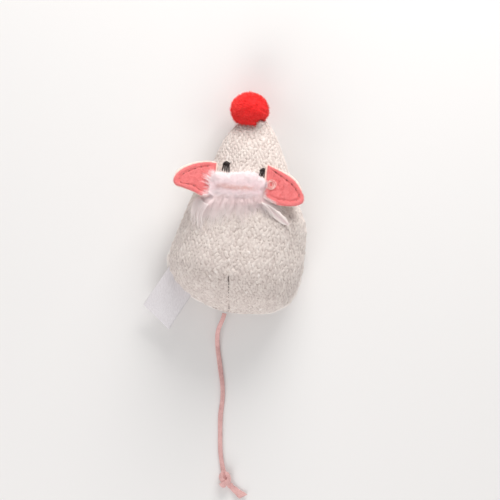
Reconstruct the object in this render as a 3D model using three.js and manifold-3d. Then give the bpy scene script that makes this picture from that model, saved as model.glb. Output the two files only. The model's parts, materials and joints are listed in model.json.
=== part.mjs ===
import * as THREE from 'three';
import { mergeVertices } from 'three/addons/utils/BufferGeometryUtils.js';
import Module from 'manifold-3d';

const wasm = await Module();
wasm.setup();

// Catnip mouse, in mm. +Y runs along the body to the nose, +Z is up, and the belly rests flat on z = 0.
// The origin is on the floor under the middle of the back.

// The stuffed body: nose tip to rump, widest stretch, and how far the back stands over the side seam
const bodyLength = 76.4;
const bodyWidth = 51.7;
const crownRise = 21.5;
const seamHeight = 10.5;
const seamDroop = 2;
const restDepth = 0.5;

// Cloth, thread and the space between pieces
const fabricThickness = 1.2;
const threadThickness = 0.5;
const clearance = 0.3;

// The nose, the lace of the tail, the ears and the label
const pompomRadius = 7.6;
const laceWidth = 1.75;
const earLength = 15.4;
const earBase = 14.2;
const feltThickness = 0.9;
const labelWidth = 13.6;
const labelLength = 15.9;

// The feather ruff: length of the dense band along the body, and its height over the cloth
const ruffLength = 12.5;
const ruffHeight = 5.2;
const wispLength = 10.5;

// The body's outline from the nose tip down the right side to the rump and up the left side to the nose,
// as shares of the width and the length, seen from above
const outlineShares = [
  [0.050, 0.537], [0.143, 0.516], [0.197, 0.478], [0.261, 0.406], [0.344, 0.295], [0.418, 0.183],
  [0.487, 0.085], [0.538, 0.006], [0.549, -0.105], [0.541, -0.242], [0.495, -0.360], [0.393, -0.427],
  [0.222, -0.458], [0.014, -0.463], [-0.128, -0.442], [-0.279, -0.395], [-0.395, -0.331],
  [-0.451, -0.249], [-0.433, -0.155], [-0.395, -0.042], [-0.348, 0.081], [-0.279, 0.196],
  [-0.213, 0.295], [-0.168, 0.386], [-0.103, 0.461], [-0.031, 0.516],
];
const rumpIndex = 13;

// The dart in the rump: where it starts and is deepest along the body, and how far its valley reaches
const dartShare = 0.61;
const dartDeepShare = 0.76;
const dartReachShare = 0.195;
const dartDepth = 0.9;

// How the section swells between the seams, and how it thins towards the nose and the rump
const crestShare = 0.45;
const backBulgePowers = [2.2, 0.6];
const bellyBulgePowers = [2.6, 0.55];
const noseTaperPower = 1.25;
const rumpTaperPower = 1.6;
const bellyTaperPower = 3;

const edgeSteps = 160;
const ribs = 24;
const ribPoints = 16;
const threadSides = 5;
const padSides = 12;
const padRings = 8;
const searchSteps = 40;
const weld = 1e-4;
const shortestEdge = 0.04;
const flattest = 0.004;
const seamGap = threadThickness / 2 + clearance;

const materials = {
  weave: { color: 0xd4c8c0, roughness: 0.95 },
  bellyWeave: { color: 0xd9cec7, roughness: 0.95 },
  fibre: { color: 0xf2f0ec, roughness: 1 },
  catnip: { color: 0x74804a, roughness: 1 },
  thread: { color: 0xd8cdc4, roughness: 0.8 },
  darkThread: { color: 0x6e625c, roughness: 0.8 },
  pompom: { color: 0xf02e2e, roughness: 1 },
  felt: { color: 0xee7e7c, roughness: 0.95 },
  creamCloth: { color: 0xf3dcd2, roughness: 0.95 },
  eye: { color: 0x141214, roughness: 0.5 },
  down: { color: 0xf2d2d3, roughness: 1 },
  quill: { color: 0xf5ece6, roughness: 0.5 },
  lace: { color: 0xe0b3af, roughness: 0.95 },
  satin: { color: 0xf3eff0, roughness: 0.45 },
};

const mouse = new THREE.Group();

function addPiece(group, name, geometry, material) {
  geometry.computeVertexNormals();
  const mesh = new THREE.Mesh(geometry, new THREE.MeshStandardMaterial(materials[material]));
  mesh.material.metalness = 0;
  mesh.name = name;
  group.add(mesh);
  return mesh;
}

// A closed body between a top and a bottom sheet of points. Rows run towards the tail, columns to the
// right.
function closedBetween(top, bottom) {
  const corners = [];
  const triangle = (a, b, c) => {
    const thin = a.distanceTo(b) < weld || b.distanceTo(c) < weld || c.distanceTo(a) < weld;
    if (!thin) corners.push(...a.toArray(), ...b.toArray(), ...c.toArray());
  };
  const quad = (a, b, c, d) => {
    triangle(a, b, c);
    triangle(a, c, d);
  };
  const last = top.length - 1;
  const side = top[0].length - 1;
  for (let i = 0; i < last; i++) {
    for (let j = 0; j < side; j++) {
      quad(top[i][j], top[i + 1][j], top[i + 1][j + 1], top[i][j + 1]);
      quad(bottom[i][j + 1], bottom[i + 1][j + 1], bottom[i + 1][j], bottom[i][j]);
    }
    quad(top[i][0], bottom[i][0], bottom[i + 1][0], top[i + 1][0]);
    quad(top[i + 1][side], bottom[i + 1][side], bottom[i][side], top[i][side]);
  }
  for (let j = 0; j < side; j++) {
    quad(top[0][j + 1], bottom[0][j + 1], bottom[0][j], top[0][j]);
    quad(top[last][j], bottom[last][j], bottom[last][j + 1], top[last][j + 1]);
  }
  const geometry = new THREE.BufferGeometry();
  geometry.setAttribute('position', new THREE.Float32BufferAttribute(corners, 3));
  return mergeVertices(geometry, weld);
}

function toSolid(geometry) {
  const bare = geometry.clone();
  bare.deleteAttribute('normal');
  bare.deleteAttribute('uv');
  const merged = mergeVertices(bare, weld);
  return new wasm.Manifold(new wasm.Mesh({
    numProp: 3,
    vertProperties: Float32Array.from(merged.getAttribute('position').array),
    triVerts: Uint32Array.from(merged.index.array),
  }));
}

// A cut leaves very short edges, and triangles with almost no height. The ends of a short edge are joined,
// and a triangle with no height swaps its long side for the other diagonal.
function toGeometry(solid) {
  const { vertProperties, triVerts } = solid.getMesh();
  const corner = (i) => new THREE.Vector3().fromArray(vertProperties, 3 * i);
  const joined = Array.from({ length: vertProperties.length / 3 }, (_, i) => i);
  const keeper = (i) => (joined[i] === i ? i : keeper(joined[i]));
  let faces = [];
  for (let i = 0; i < triVerts.length; i += 3) faces.push([...triVerts.slice(i, i + 3)]);
  for (const face of faces) {
    face.forEach((a, k) => {
      const b = face[(k + 1) % 3];
      if (corner(a).distanceTo(corner(b)) < shortestEdge) joined[keeper(a)] = keeper(b);
    });
  }
  faces = faces.map((face) => face.map(keeper)).filter(([a, b, c]) => a !== b && b !== c && c !== a);
  const across = new Map();
  const sides = (face) => face.map((a, k) => [a, face[(k + 1) % 3], face[(k + 2) % 3]]);
  const note = (face) => sides(face).forEach(([a, b]) => across.set(`${a}_${b}`, face));
  faces.forEach(note);
  for (const face of faces) {
    const [a, b, c] = sides(face).sort(([p, q], [r, t]) =>
      corner(r).distanceTo(corner(t)) - corner(p).distanceTo(corner(q)))[0];
    const base = corner(b).sub(corner(a));
    const height = base.clone().cross(corner(c).sub(corner(a))).length() / base.length();
    const other = across.get(`${b}_${a}`);
    if (height > flattest || !other) continue;
    const d = other.find((i) => i !== a && i !== b);
    if (across.has(`${c}_${d}`) || across.has(`${d}_${c}`)) continue;
    across.delete(`${a}_${b}`);
    across.delete(`${b}_${a}`);
    face.splice(0, 3, c, a, d);
    other.splice(0, 3, d, b, c);
    [face, other].forEach(note);
  }
  const geometry = new THREE.BufferGeometry();
  const corners = faces.flat().flatMap((i) => corner(i).toArray());
  geometry.setAttribute('position', new THREE.Float32BufferAttribute(corners, 3));
  return mergeVertices(geometry, weld);
}

function cutBy(geometry, ...tools) {
  return toGeometry(tools.reduce((solid, tool) => solid.subtract(toSolid(tool)), toSolid(geometry)));
}

// A tube with flat ends along a smooth curve through the points.
function tubeThrough(points, radius, sides, steps) {
  const section = new THREE.Shape();
  for (let i = 0; i < sides; i++) {
    const turn = 2 * Math.PI * (i + 0.5) / sides;
    const corner = [radius * Math.cos(turn), radius * Math.sin(turn)];
    if (i === 0) section.moveTo(...corner);
    else section.lineTo(...corner);
  }
  section.closePath();
  const extrudePath = new THREE.CatmullRomCurve3(points);
  return new THREE.ExtrudeGeometry(section, { steps, extrudePath, bevelEnabled: false });
}

// The outline as a smooth closed curve, and its right and left edges from the nose tip to the rump
const outline = new THREE.CatmullRomCurve3(
  outlineShares.map(([x, y]) => new THREE.Vector3(x * bodyWidth, y * bodyLength, 0)), true, 'centripetal');

function edgeTable(fromTurn, toTurn) {
  const table = [];
  for (let i = 0; i <= edgeSteps; i++) {
    const turn = THREE.MathUtils.lerp(fromTurn, toTurn, i / edgeSteps) % 1;
    const point = outline.getPoint(turn);
    const travel = outline.getTangent(turn);
    const run = i === 0 ? 0 : table[i - 1].run + point.distanceTo(table[i - 1].point);
    table.push({ point, run, inward: new THREE.Vector3(travel.y, -travel.x, 0) });
  }
  return table;
}
const rumpTurn = rumpIndex / outlineShares.length;
const rightEdge = edgeTable(0, rumpTurn);
const leftEdge = edgeTable(1, rumpTurn);

function edgeAt(table, along, inset) {
  const run = along * table[edgeSteps].run;
  let next = 1;
  while (next < edgeSteps && table[next].run < run) next++;
  const before = table[next - 1];
  const after = table[next];
  const share = (run - before.run) / (after.run - before.run);
  const inward = before.inward.clone().lerp(after.inward, share).normalize();
  return before.point.clone().lerp(after.point, share).addScaledVector(inward, inset);
}

const seamAt = (along) => seamHeight - seamDroop * (2 * along - 1) ** 2;
const arch = (across, [power, ease]) => (1 - Math.abs(across) ** power) ** ease;

// The dart draws the cloth of the rump down to its stitches, in a soft valley.
function dartTuck(along, across) {
  const deep = THREE.MathUtils.smoothstep(along, dartShare, dartDeepShare);
  return dartDepth * deep * Math.max(0, 1 - Math.abs(across) / dartReachShare);
}

// A point of the cloth. along runs from the nose (0) to the tail (1), across from the left seam (-1) to the
// right one (1), and inset goes into the body from the cloth's outer face.
function skinPoint(along, across, inset, upper) {
  const left = edgeAt(leftEdge, along, inset);
  const right = edgeAt(rightEdge, along, inset);
  const fullness = left.distanceTo(right) / bodyWidth;
  const point = left.clone().lerp(right, crestShare).lerp(across < 0 ? left : right, Math.abs(across));
  if (upper) {
    const rise = crownRise * fullness ** THREE.MathUtils.lerp(noseTaperPower, rumpTaperPower, along);
    const tuck = Math.min(rise, dartTuck(along, across));
    point.z = seamAt(along) + seamGap + rise * arch(across, backBulgePowers) - tuck;
  } else {
    const belly = 1 - Math.max(0, 1 - fullness) ** bellyTaperPower;
    const fall = (seamAt(along) - seamGap + restDepth - inset) * belly;
    point.z = seamAt(along) - seamGap - fall * arch(across, bellyBulgePowers);
  }
  return point;
}

const ribShares = Array.from({ length: ribs + 1 }, (_, i) => i / ribs)
  .map((even) => (even + (1 - Math.cos(Math.PI * even)) / 2) / 2);
const acrossShares = Array.from({ length: ribPoints + 1 }, (_, j) => j / ribPoints)
  .map((even) => Math.sin(Math.PI * (even - 0.5)));

function skinSheet(inset, upper) {
  return ribShares.map((along) => acrossShares.map((across) => skinPoint(along, across, inset, upper)));
}

// The rib and the place on it that lie over a plan point.
function ribUnder(x, y) {
  let near = 0;
  let far = 1;
  for (let i = 0; i < searchSteps; i++) {
    const along = (near + far) / 2;
    const left = edgeAt(leftEdge, along, 0);
    const right = edgeAt(rightEdge, along, 0);
    const ahead = (right.x - left.x) * (y - left.y) - (right.y - left.y) * (x - left.x);
    if (ahead > 0) far = along;
    else near = along;
  }
  const left = edgeAt(leftEdge, near, 0);
  const reach = edgeAt(rightEdge, near, 0).sub(left);
  const share = new THREE.Vector3(x, y, 0).sub(left).dot(reach) / reach.lengthSq();
  const span = share < crestShare ? crestShare : 1 - crestShare;
  return { along: near, across: THREE.MathUtils.clamp((share - crestShare) / span, -1, 1) };
}

function onBack(x, y, lift) {
  const { along, across } = ribUnder(x, y);
  return skinPoint(along, across, -lift, true);
}

function backNormal(x, y) {
  const here = onBack(x, y, 0);
  const rightward = onBack(x + threadThickness, y, 0).sub(here);
  const noseward = onBack(x, y + threadThickness, 0).sub(here);
  return rightward.cross(noseward).normalize();
}

// The space that moving pieces keep out of: the body and a clearance all round.
const keepOut = closedBetween(skinSheet(-clearance, true), skinSheet(-clearance, false));

// What is left of a piece once the body is cleared all the way through its swing about a hinge at the
// origin of its own group.
function clearOfBody(geometry, group, hingeAxis, swing) {
  const toPiece = group.matrix.clone().invert();
  const turns = swing.map((degrees) => {
    const turn = new THREE.Matrix4().makeRotationAxis(hingeAxis, -THREE.MathUtils.degToRad(degrees));
    return keepOut.clone().applyMatrix4(toPiece).applyMatrix4(turn);
  });
  return cutBy(geometry, ...turns);
}

function groupAt(position, rightward, forward) {
  const group = new THREE.Group();
  const up = rightward.clone().cross(forward).normalize();
  const basis = new THREE.Matrix4().makeBasis(rightward, up.clone().cross(rightward), up);
  group.position.copy(position);
  group.quaternion.setFromRotationMatrix(basis);
  group.updateMatrix();
  mouse.add(group);
  return group;
}
const worldX = new THREE.Vector3(1, 0, 0);
const worldY = new THREE.Vector3(0, 1, 0);
const worldZ = new THREE.Vector3(0, 0, 1);

// The lace's inner end: pressed flat where the rump seam catches it, and held inside by the filling
const laceRadius = laceWidth / 2;
const anchorLength = 7;
const anchorMouth = clearance;
const tailSwing = 40;
const rumpTip = edgeAt(rightEdge, 1, 0).setZ(seamAt(1));

function flatLace(grow) {
  const length = anchorLength + grow;
  return new THREE.BoxGeometry(laceWidth + 2 * grow, length, threadThickness + 2 * grow)
    .translate(rumpTip.x, rumpTip.y + anchorMouth + length / 2, rumpTip.z);
}
addPiece(mouse, 'tail_anchor', flatLace(0), 'lace');

// The stitches of the dart, from the middle of the rump down to the tail
const dartThreadWidth = 0.7;
const dartEndShare = 0.97;

function dartStrip(lift) {
  return ribShares.filter((along) => along > dartShare && along < dartEndShare).map((along) => {
    const reach = edgeAt(leftEdge, along, 0).distanceTo(edgeAt(rightEdge, along, 0));
    const acrossEnds = [-crestShare, 1 - crestShare].map((span) => dartThreadWidth / 2 / (reach * span));
    return acrossEnds.map((across) => skinPoint(along, across, -lift, true));
  });
}
const dartThread = closedBetween(dartStrip(clearance + threadThickness), dartStrip(clearance));
addPiece(mouse, 'rump_dart_thread', dartThread, 'darkThread');

// The two woven panels: shells of one cloth thickness, joined at the side seam
const backPanel = closedBetween(skinSheet(0, true), skinSheet(fabricThickness, true));
addPiece(mouse, 'back_panel', backPanel, 'weave');

const underFloor = new THREE.BoxGeometry(2 * bodyWidth, 2 * bodyLength, 2 * seamHeight)
  .translate(0, 0, -seamHeight);
const bellyPanel = closedBetween(skinSheet(fabricThickness, false), skinSheet(0, false));
addPiece(mouse, 'belly_panel', cutBy(bellyPanel, underFloor), 'bellyWeave');

// The fibre filling, with a hollow in its underside for the dried catnip
const fillInset = fabricThickness + clearance;
const catnipHeight = 8;
const catnipMiddleShares = [0.554, 0];
const catnipReachShares = [0.255, 0.707];
const catnipFillShare = 0.9;

const fromCatnip = (share, axis) => Math.abs(share - catnipMiddleShares[axis]) / catnipReachShares[axis];

function hollowRise(along, across) {
  const domes = [along, across].map((share, axis) => Math.max(0, 1 - fromCatnip(share, axis) ** 2));
  return catnipHeight * domes[0] * domes[1];
}
const fillUnder = skinSheet(fillInset, false);
const fillHollow = fillUnder.map((row, i) => row.map((point, j) => {
  return point.clone().setZ(point.z + hollowRise(ribShares[i], acrossShares[j]));
}));
const filling = closedBetween(skinSheet(fillInset, true), fillHollow);
addPiece(mouse, 'body_filling', cutBy(filling, flatLace(clearance)), 'fibre');

const inHollow = (sheet) => sheet
  .filter((_, i) => fromCatnip(ribShares[i], 0) < catnipFillShare)
  .map((row) => row.filter((_, j) => fromCatnip(acrossShares[j], 1) < catnipFillShare));
const catnipRoom = 2 * clearance;
const underHollow = (point) => point.clone().setZ(point.z - catnipRoom);
const catnipTop = inHollow(fillHollow).map((row) => row.map(underHollow));
addPiece(mouse, 'catnip_filling', closedBetween(catnipTop, inHollow(fillUnder)), 'catnip');

// The thread of the side seam lies between the panels. It runs from the lace round the left side and the
// nose to the hand-sewn stretch, which closes the rear of the right side.
const seamThreadWidth = 0.9;
const closingShare = 0.7;
const seamSteps = 64;

function seamThread(from, to, steps) {
  const top = [];
  const bottom = [];
  for (let i = 0; i <= steps; i++) {
    const around = THREE.MathUtils.lerp(from, to, i / steps) % 2;
    const [edge, along] = around <= 1 ? [rightEdge, around] : [leftEdge, 2 - around];
    const insets = [clearance / 2 + seamThreadWidth, clearance / 2];
    const height = (half) => insets.map((inset) => edgeAt(edge, along, inset).setZ(seamAt(along) + half));
    top.push(height(threadThickness / 2));
    bottom.push(height(-threadThickness / 2));
  }
  return closedBetween(top, bottom);
}
const edgeRun = rightEdge[edgeSteps].run;
const besideLace = (laceRadius + 2 * clearance) / edgeRun;
const machineSeam = seamThread(1 + besideLace, 2 + closingShare - clearance / edgeRun, seamSteps);
addPiece(mouse, 'side_seam_thread', machineSeam, 'thread');
const closingSteps = Math.round(seamSteps * (1 - closingShare) / 2);
addPiece(mouse, 'closing_stitch', seamThread(closingShare, 1 - besideLace, closingSteps), 'thread');

// An ear is two leaves of cloth sewn together near their edge, and sewn down along its straight base.
// Its own group has the hinge at the origin, X out along the leaf and Y along the base.
const earLeafShares = [
  [0, 0.5], [0.28, 0.42], [0.54, 0.26], [0.77, 0.05], [0.93, -0.20], [1, -0.42], [0.91, -0.53],
  [0.72, -0.57], [0.44, -0.55], [0.12, -0.52], [0, -0.5],
];
const earBaseShares = {
  left_ear: { front: [-0.160, 0.266], rear: [-0.176, 0.087], side: -1, pitch: 8, sweep: 4 },
  right_ear: { front: [0.174, 0.285], rear: [0.184, 0.108], side: 1, pitch: 17, sweep: 0 },
};
const earFold = [-8, 14, 36, 58, 75];
const earCurveSegments = 2;
const earMiddleShare = [0.45, -0.1];
const edgeStitchInset = 2;
const edgeThreadRadius = 0.25;
const edgeStitchSteps = 22;
const baseStitchShares = [0.06, 0.35, 0.65, 0.94];
const baseStitchSteps = 9;
const earHinge = new THREE.Vector3(0, -1, 0);
const earLift = clearance + threadThickness + clearance + feltThickness + clearance / 2;

function earLeaf(side, lowZ) {
  const points = earLeafShares.map(([x, y]) => new THREE.Vector2(x * earLength, side * y * earBase));
  const leaf = new THREE.Shape();
  leaf.moveTo(points[0].x, points[0].y);
  leaf.splineThru(points.slice(1));
  leaf.closePath();
  const options = { depth: feltThickness, bevelEnabled: false, curveSegments: earCurveSegments };
  return new THREE.ExtrudeGeometry(leaf, options).translate(0, 0, lowZ);
}

function earEdgeThread(side) {
  const middle = new THREE.Vector2(earMiddleShare[0] * earLength, side * earMiddleShare[1] * earBase);
  const height = clearance / 2 + feltThickness + clearance + edgeThreadRadius;
  const points = earLeafShares.slice(1, -1).map(([x, y]) => {
    const corner = new THREE.Vector2(x * earLength, side * y * earBase);
    const inward = middle.clone().sub(corner).setLength(edgeStitchInset);
    return new THREE.Vector3(corner.x + inward.x, corner.y + inward.y, height);
  });
  return tubeThrough(points, edgeThreadRadius, threadSides, edgeStitchSteps);
}

for (const [name, { front, rear, side, pitch, sweep }] of Object.entries(earBaseShares)) {
  const [frontXY, rearXY] = [front, rear].map(([x, y]) => [x * bodyWidth, y * bodyLength]);
  const frontEnd = onBack(...frontXY, earLift);
  const rearEnd = onBack(...rearXY, earLift);
  const alongBase = frontEnd.clone().sub(rearEnd).normalize();
  const down = THREE.MathUtils.degToRad(pitch);
  const forward = THREE.MathUtils.degToRad(sweep);
  const out = new THREE.Vector3(side * Math.cos(forward), Math.sin(forward), -Math.tan(down));
  out.addScaledVector(alongBase, -out.dot(alongBase)).normalize();
  const baseMiddle = frontEnd.clone().add(rearEnd).divideScalar(2);
  const ear = groupAt(baseMiddle, out, alongBase.clone().multiplyScalar(side));
  const leafFront = earLeaf(side, clearance / 2);
  const leafBack = earLeaf(side, -clearance / 2 - feltThickness);
  addPiece(ear, `${name}_front`, clearOfBody(leafFront, ear, earHinge, earFold), 'felt');
  addPiece(ear, `${name}_back`, clearOfBody(leafBack, ear, earHinge, earFold), 'creamCloth');
  addPiece(ear, `${name}_edge_stitch`, earEdgeThread(side), 'darkThread');
  const sewn = baseStitchShares.map((share) => {
    const [x, y] = [0, 1].map((axis) => THREE.MathUtils.lerp(rearXY[axis], frontXY[axis], share));
    return onBack(x, y, clearance + threadThickness / 2);
  });
  const baseStitch = tubeThrough(sewn, threadThickness / 2, threadSides, baseStitchSteps);
  addPiece(mouse, `${name}_base_stitch`, baseStitch, 'thread');
}

// The feather ruff: down spun on a string, sewn across the head between the ears
const ruffRearShare = 0.07;
const ruffRear = ruffRearShare * bodyLength;
const ruffFront = ruffRear + ruffLength;
const ruffRoom = feltThickness + 2 * clearance;
const coreRadius = 0.5;
const coreSpans = 4;
const coreSteps = 12;
const coreY = (ruffRear + ruffFront) / 2;
const downColumns = 10;
const coreRoom = 2 * (coreRadius + clearance);

function besideEar(name, y) {
  const [[frontX, frontY], [rearX, rearY]] = [earBaseShares[name].front, earBaseShares[name].rear];
  const share = (y / bodyLength - rearY) / (frontY - rearY);
  return bodyWidth * THREE.MathUtils.lerp(rearX, frontX, share) - earBaseShares[name].side * ruffRoom;
}
const ruffEnds = (y) => [besideEar('left_ear', y), besideEar('right_ear', y)];

const corePath = Array.from({ length: coreSpans + 1 }, (_, i) => {
  const x = THREE.MathUtils.lerp(...ruffEnds(coreY), i / coreSpans);
  return onBack(x, coreY, clearance + coreRadius);
});
addPiece(mouse, 'ruff_core_cord', tubeThrough(corePath, coreRadius, threadSides, coreSteps), 'thread');

// The eyes: raised pads of satin stitches, close in front of the ruff
const eyeSize = { x: 1.4, y: 2.0, z: 0.45 };
const eyeSideShares = { left_eye: -0.112, right_eye: 0.144 };
const eyeY = ruffFront + clearance + eyeSize.y;

for (const [name, side] of Object.entries(eyeSideShares)) {
  const pad = new THREE.SphereGeometry(1, padSides, padRings).scale(eyeSize.x, eyeSize.y, eyeSize.z);
  const eye = addPiece(mouse, name, pad, 'eye');
  eye.position.copy(onBack(side * bodyWidth, eyeY, clearance + eyeSize.z));
  eye.quaternion.setFromUnitVectors(worldZ, backNormal(side * bodyWidth, eyeY));
}

// The rows of the band from its front to its rear, with a channel over the core cord
const channelHalf = coreRoom / 2 / ruffLength;
const channelSlope = clearance / ruffLength;
const downRowShares = [
  0, 0.12, 0.28, 0.5 - channelHalf - channelSlope, 0.5 - channelHalf,
  0.5 + channelHalf, 0.5 + channelHalf + channelSlope, 0.72, 0.88, 1,
];

function downSheet(height) {
  return downRowShares.map((row) => {
    const y = THREE.MathUtils.lerp(ruffFront, ruffRear, row);
    return Array.from({ length: downColumns + 1 }, (_, j) => {
      const share = j / downColumns;
      return onBack(THREE.MathUtils.lerp(...ruffEnds(y), share), y, height(row, share));
    });
  });
}
const downTop = (row, share) => {
  const swell = Math.sqrt(Math.max(0, Math.sin(Math.PI * row) * Math.sin(Math.PI * share)));
  return clearance + coreRoom + (ruffHeight - coreRoom) * swell;
};
const downUnder = (row) => {
  const overCore = Math.abs(row - 0.5) < channelHalf + channelSlope / 2;
  return clearance + (overCore ? coreRoom : 0);
};
addPiece(mouse, 'ruff_down', closedBetween(downSheet(downTop), downSheet(downUnder)), 'down');

// The loose fan of barbs behind the band, with one longer plume on a quill. It lifts about its front edge.
const wispThickness = 1;
const wispFrontWidth = 21;
const wispRearWidth = 36;
const wispCurl = 6;
const wispRows = 5;
const wispColumns = 12;
const fanMiddleShare = 0.01;
const fanMiddle = fanMiddleShare * bodyWidth;
const fanFront = ruffRear - clearance - wispThickness;
const ruffLift = [0, 9, 18, 27, 35];
const fanHinge = new THREE.Vector3(-1, 0, 0);
const fan = groupAt(onBack(fanMiddle, fanFront, clearance + wispThickness / 2), worldX, worldY);
const toFan = fan.matrix.clone().invert();

function fanSheet(lift) {
  return Array.from({ length: wispRows + 1 }, (_, i) => i / wispRows).map((back) => {
    return Array.from({ length: wispColumns + 1 }, (_, j) => 2 * j / wispColumns - 1).map((side) => {
      const width = THREE.MathUtils.lerp(wispFrontWidth, wispRearWidth, back);
      const y = fanFront - back * (wispLength - wispCurl * side ** 2);
      return onBack(fanMiddle + side * width / 2, y, lift).applyMatrix4(toFan);
    });
  });
}
const wisps = closedBetween(fanSheet(clearance + wispThickness), fanSheet(clearance));
addPiece(fan, 'ruff_wisps', clearOfBody(wisps, fan, fanHinge, ruffLift), 'down');

const plumeSideShares = [0.23, 0.316, 0.417, 0.517];
const plumeRearShares = [0.058, 0.124, 0.2, 0.302];
const plumeWidthShares = [0.5, 1, 1, 0.4];
const plumeWidth = 3.4;
const plumeThickness = 0.5;
const quillRadius = 0.25;
const plumeLift = 2 * clearance + wispThickness;

function onPlume(row, aside, lift) {
  const x = fanMiddle + plumeSideShares[row] * wispRearWidth;
  const y = fanFront - plumeRearShares[row] * wispLength;
  return onBack(x, y + aside, lift).applyMatrix4(toFan);
}

function plumeSheet(lift) {
  return plumeWidthShares.map((share, row) => {
    const taper = share * plumeWidth / 2;
    return [onPlume(row, -taper, lift), onPlume(row, taper, lift)];
  });
}
const plume = closedBetween(plumeSheet(plumeLift + plumeThickness), plumeSheet(plumeLift));
addPiece(fan, 'ruff_plume', plume, 'down');
const quillLift = plumeLift + plumeThickness + clearance + quillRadius;
const quillSteps = 6;
const quillPath = plumeSideShares.map((_, row) => onPlume(row, 0, quillLift));
addPiece(fan, 'ruff_plume_quill', tubeThrough(quillPath, quillRadius, threadSides, quillSteps), 'quill');

// The pom-pom nose. It wobbles about the nose tip, on the thread that ties its heart to the cloth.
const pompomSquash = 0.95;
const pompomSides = 20;
const pompomRings = 14;
const pompomPlaceShares = [-0.3, 0.28, 0.4];
const pompomFromTip = new THREE.Vector3(...pompomPlaceShares).multiplyScalar(pompomRadius);
const pompomWobble = [-8, -4, 0, 4, 8];
const tieRadius = 0.35;
const tieStart = 2 * clearance;
const tieLength = 6;
const tieSides = 8;
const nose = groupAt(skinPoint(0, 0, 0, true).setZ(seamAt(0)), worldX, worldY);

function tieRod(from, length, radius) {
  const rod = new THREE.CylinderGeometry(radius, radius, length, tieSides);
  const aim = new THREE.Quaternion().setFromUnitVectors(worldY, pompomFromTip.clone().normalize());
  return rod.translate(0, from + length / 2, 0).applyQuaternion(aim);
}
const ball = new THREE.SphereGeometry(pompomRadius, pompomSides, pompomRings)
  .rotateX(Math.PI / 2)
  .scale(1, 1, pompomSquash)
  .translate(...pompomFromTip.toArray());
const hollowBall = clearOfBody(ball, nose, worldZ, pompomWobble);
const tieHole = tieRod(0, tieStart + tieLength + clearance, tieRadius + clearance);
addPiece(nose, 'nose_pompom', cutBy(hollowBall, tieHole), 'pompom');
addPiece(nose, 'pompom_tie', tieRod(tieStart, tieLength, tieRadius), 'thread');

// The side label: a ribbon folded into a loop, its ends sewn a little askew into the side seam, about
// which it folds
const labelPlaceShare = [-0.353, -0.350];
const labelPlace = { x: labelPlaceShare[0] * bodyWidth, y: labelPlaceShare[1] * bodyLength };
const labelLean = 217;
const labelSkew = -10.6;
const labelDroop = 12;
const labelFold = [-18, 0, 17, 34, 50];
const ribbonThickness = 0.35;
const loopHalf = 0.6;
const labelRoot = 4;
const loopSegments = 6;

function ribbonLoop() {
  const inner = loopHalf - ribbonThickness;
  const foldAt = labelLength - loopHalf;
  const profile = new THREE.Shape();
  profile.moveTo(-labelRoot, -loopHalf);
  profile.lineTo(foldAt, -loopHalf);
  profile.absarc(foldAt, 0, loopHalf, -Math.PI / 2, Math.PI / 2, false);
  profile.lineTo(-labelRoot, loopHalf);
  profile.lineTo(-labelRoot, inner);
  profile.lineTo(foldAt, inner);
  profile.absarc(foldAt, 0, inner, Math.PI / 2, -Math.PI / 2, true);
  profile.lineTo(-labelRoot, -inner);
  profile.closePath();
  const options = { depth: labelWidth, bevelEnabled: false, curveSegments: loopSegments };
  const askew = Math.tan(THREE.MathUtils.degToRad(labelSkew));
  return new THREE.ExtrudeGeometry(profile, options)
    .translate(0, 0, -labelWidth / 2)
    .applyMatrix4(new THREE.Matrix4().makeBasis(worldY, worldZ, worldX))
    .applyMatrix4(new THREE.Matrix4().makeShear(0, 0, askew, 0, 0, 0));
}
const lean = THREE.MathUtils.degToRad(labelLean);
const droop = THREE.MathUtils.degToRad(labelDroop);
const labelOut = new THREE.Vector3(Math.sin(lean), Math.cos(lean), -Math.tan(droop));
const labelHeight = seamAt(ribUnder(labelPlace.x, labelPlace.y).along);
const labelSeat = new THREE.Vector3(labelPlace.x, labelPlace.y, labelHeight);
const labelHinge = new THREE.Vector3(Math.cos(lean), -Math.sin(lean), 0);
const label = groupAt(labelSeat, labelHinge, labelOut);
addPiece(label, 'side_label', clearOfBody(ribbonLoop(), label, worldX, labelFold), 'satin');

// The tail: a soft lace out of the rump seam, down to the floor and along it to its knot.
// It stands off the seam by what its corners need to swing from side to side.
const laceSides = 8;
const laceSteps = 58;
const tailRoute = [
  [0.7, -36.3, 8.5], [0.4, -38.3, 8.4], [-0.2, -40.4, 7.6], [-0.7, -42.3, 6.1], [-0.9, -44.1, 4.2],
  [-0.8, -46.0, 2.5], [-0.5, -48.2, 1.4], [0.0, -50.6, 1.0], [0.7, -53.2, 0.93], [1.5, -56.2, 0.93],
  [2.4, -59.6, 0.93], [3.3, -63.0, 0.93], [4.0, -66.6, 0.93], [4.3, -70.4, 0.93], [4.3, -74.4, 0.93],
  [4.6, -78.4, 0.93], [5.1, -82.4, 0.93], [5.6, -86.2, 0.93], [6.2, -89.8, 0.93], [7.1, -93.4, 0.93],
  [8.2, -96.8, 0.93],
];
const knotPlace = [9.3, -100.1, 2.1];
const knotSize = { x: 2.3, y: 2.9, z: 2 };
const knotLean = 17;
const tipPlace = [9.3, -100.1, 0.95];
const tipLean = -30;
const tipStart = 3;
const tipLength = 7.6;
const tipEndWidth = 2.7;
const tipThickness = 1.2;

const rootRoom = clearance + laceRadius * Math.sin(THREE.MathUtils.degToRad(tailSwing));
const tailExit = rumpTip.clone().setY(rumpTip.y - rootRoom);
const tail = groupAt(tailExit, worldX, worldY);
const fromExit = ([x, y, z]) => new THREE.Vector3(x, y, z).sub(tailExit);
const routePoints = tailRoute.map(fromExit);
routePoints[0].set(0, 0, 0);
addPiece(tail, 'tail_cord', tubeThrough(routePoints, laceRadius, laceSides, laceSteps), 'lace');

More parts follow.
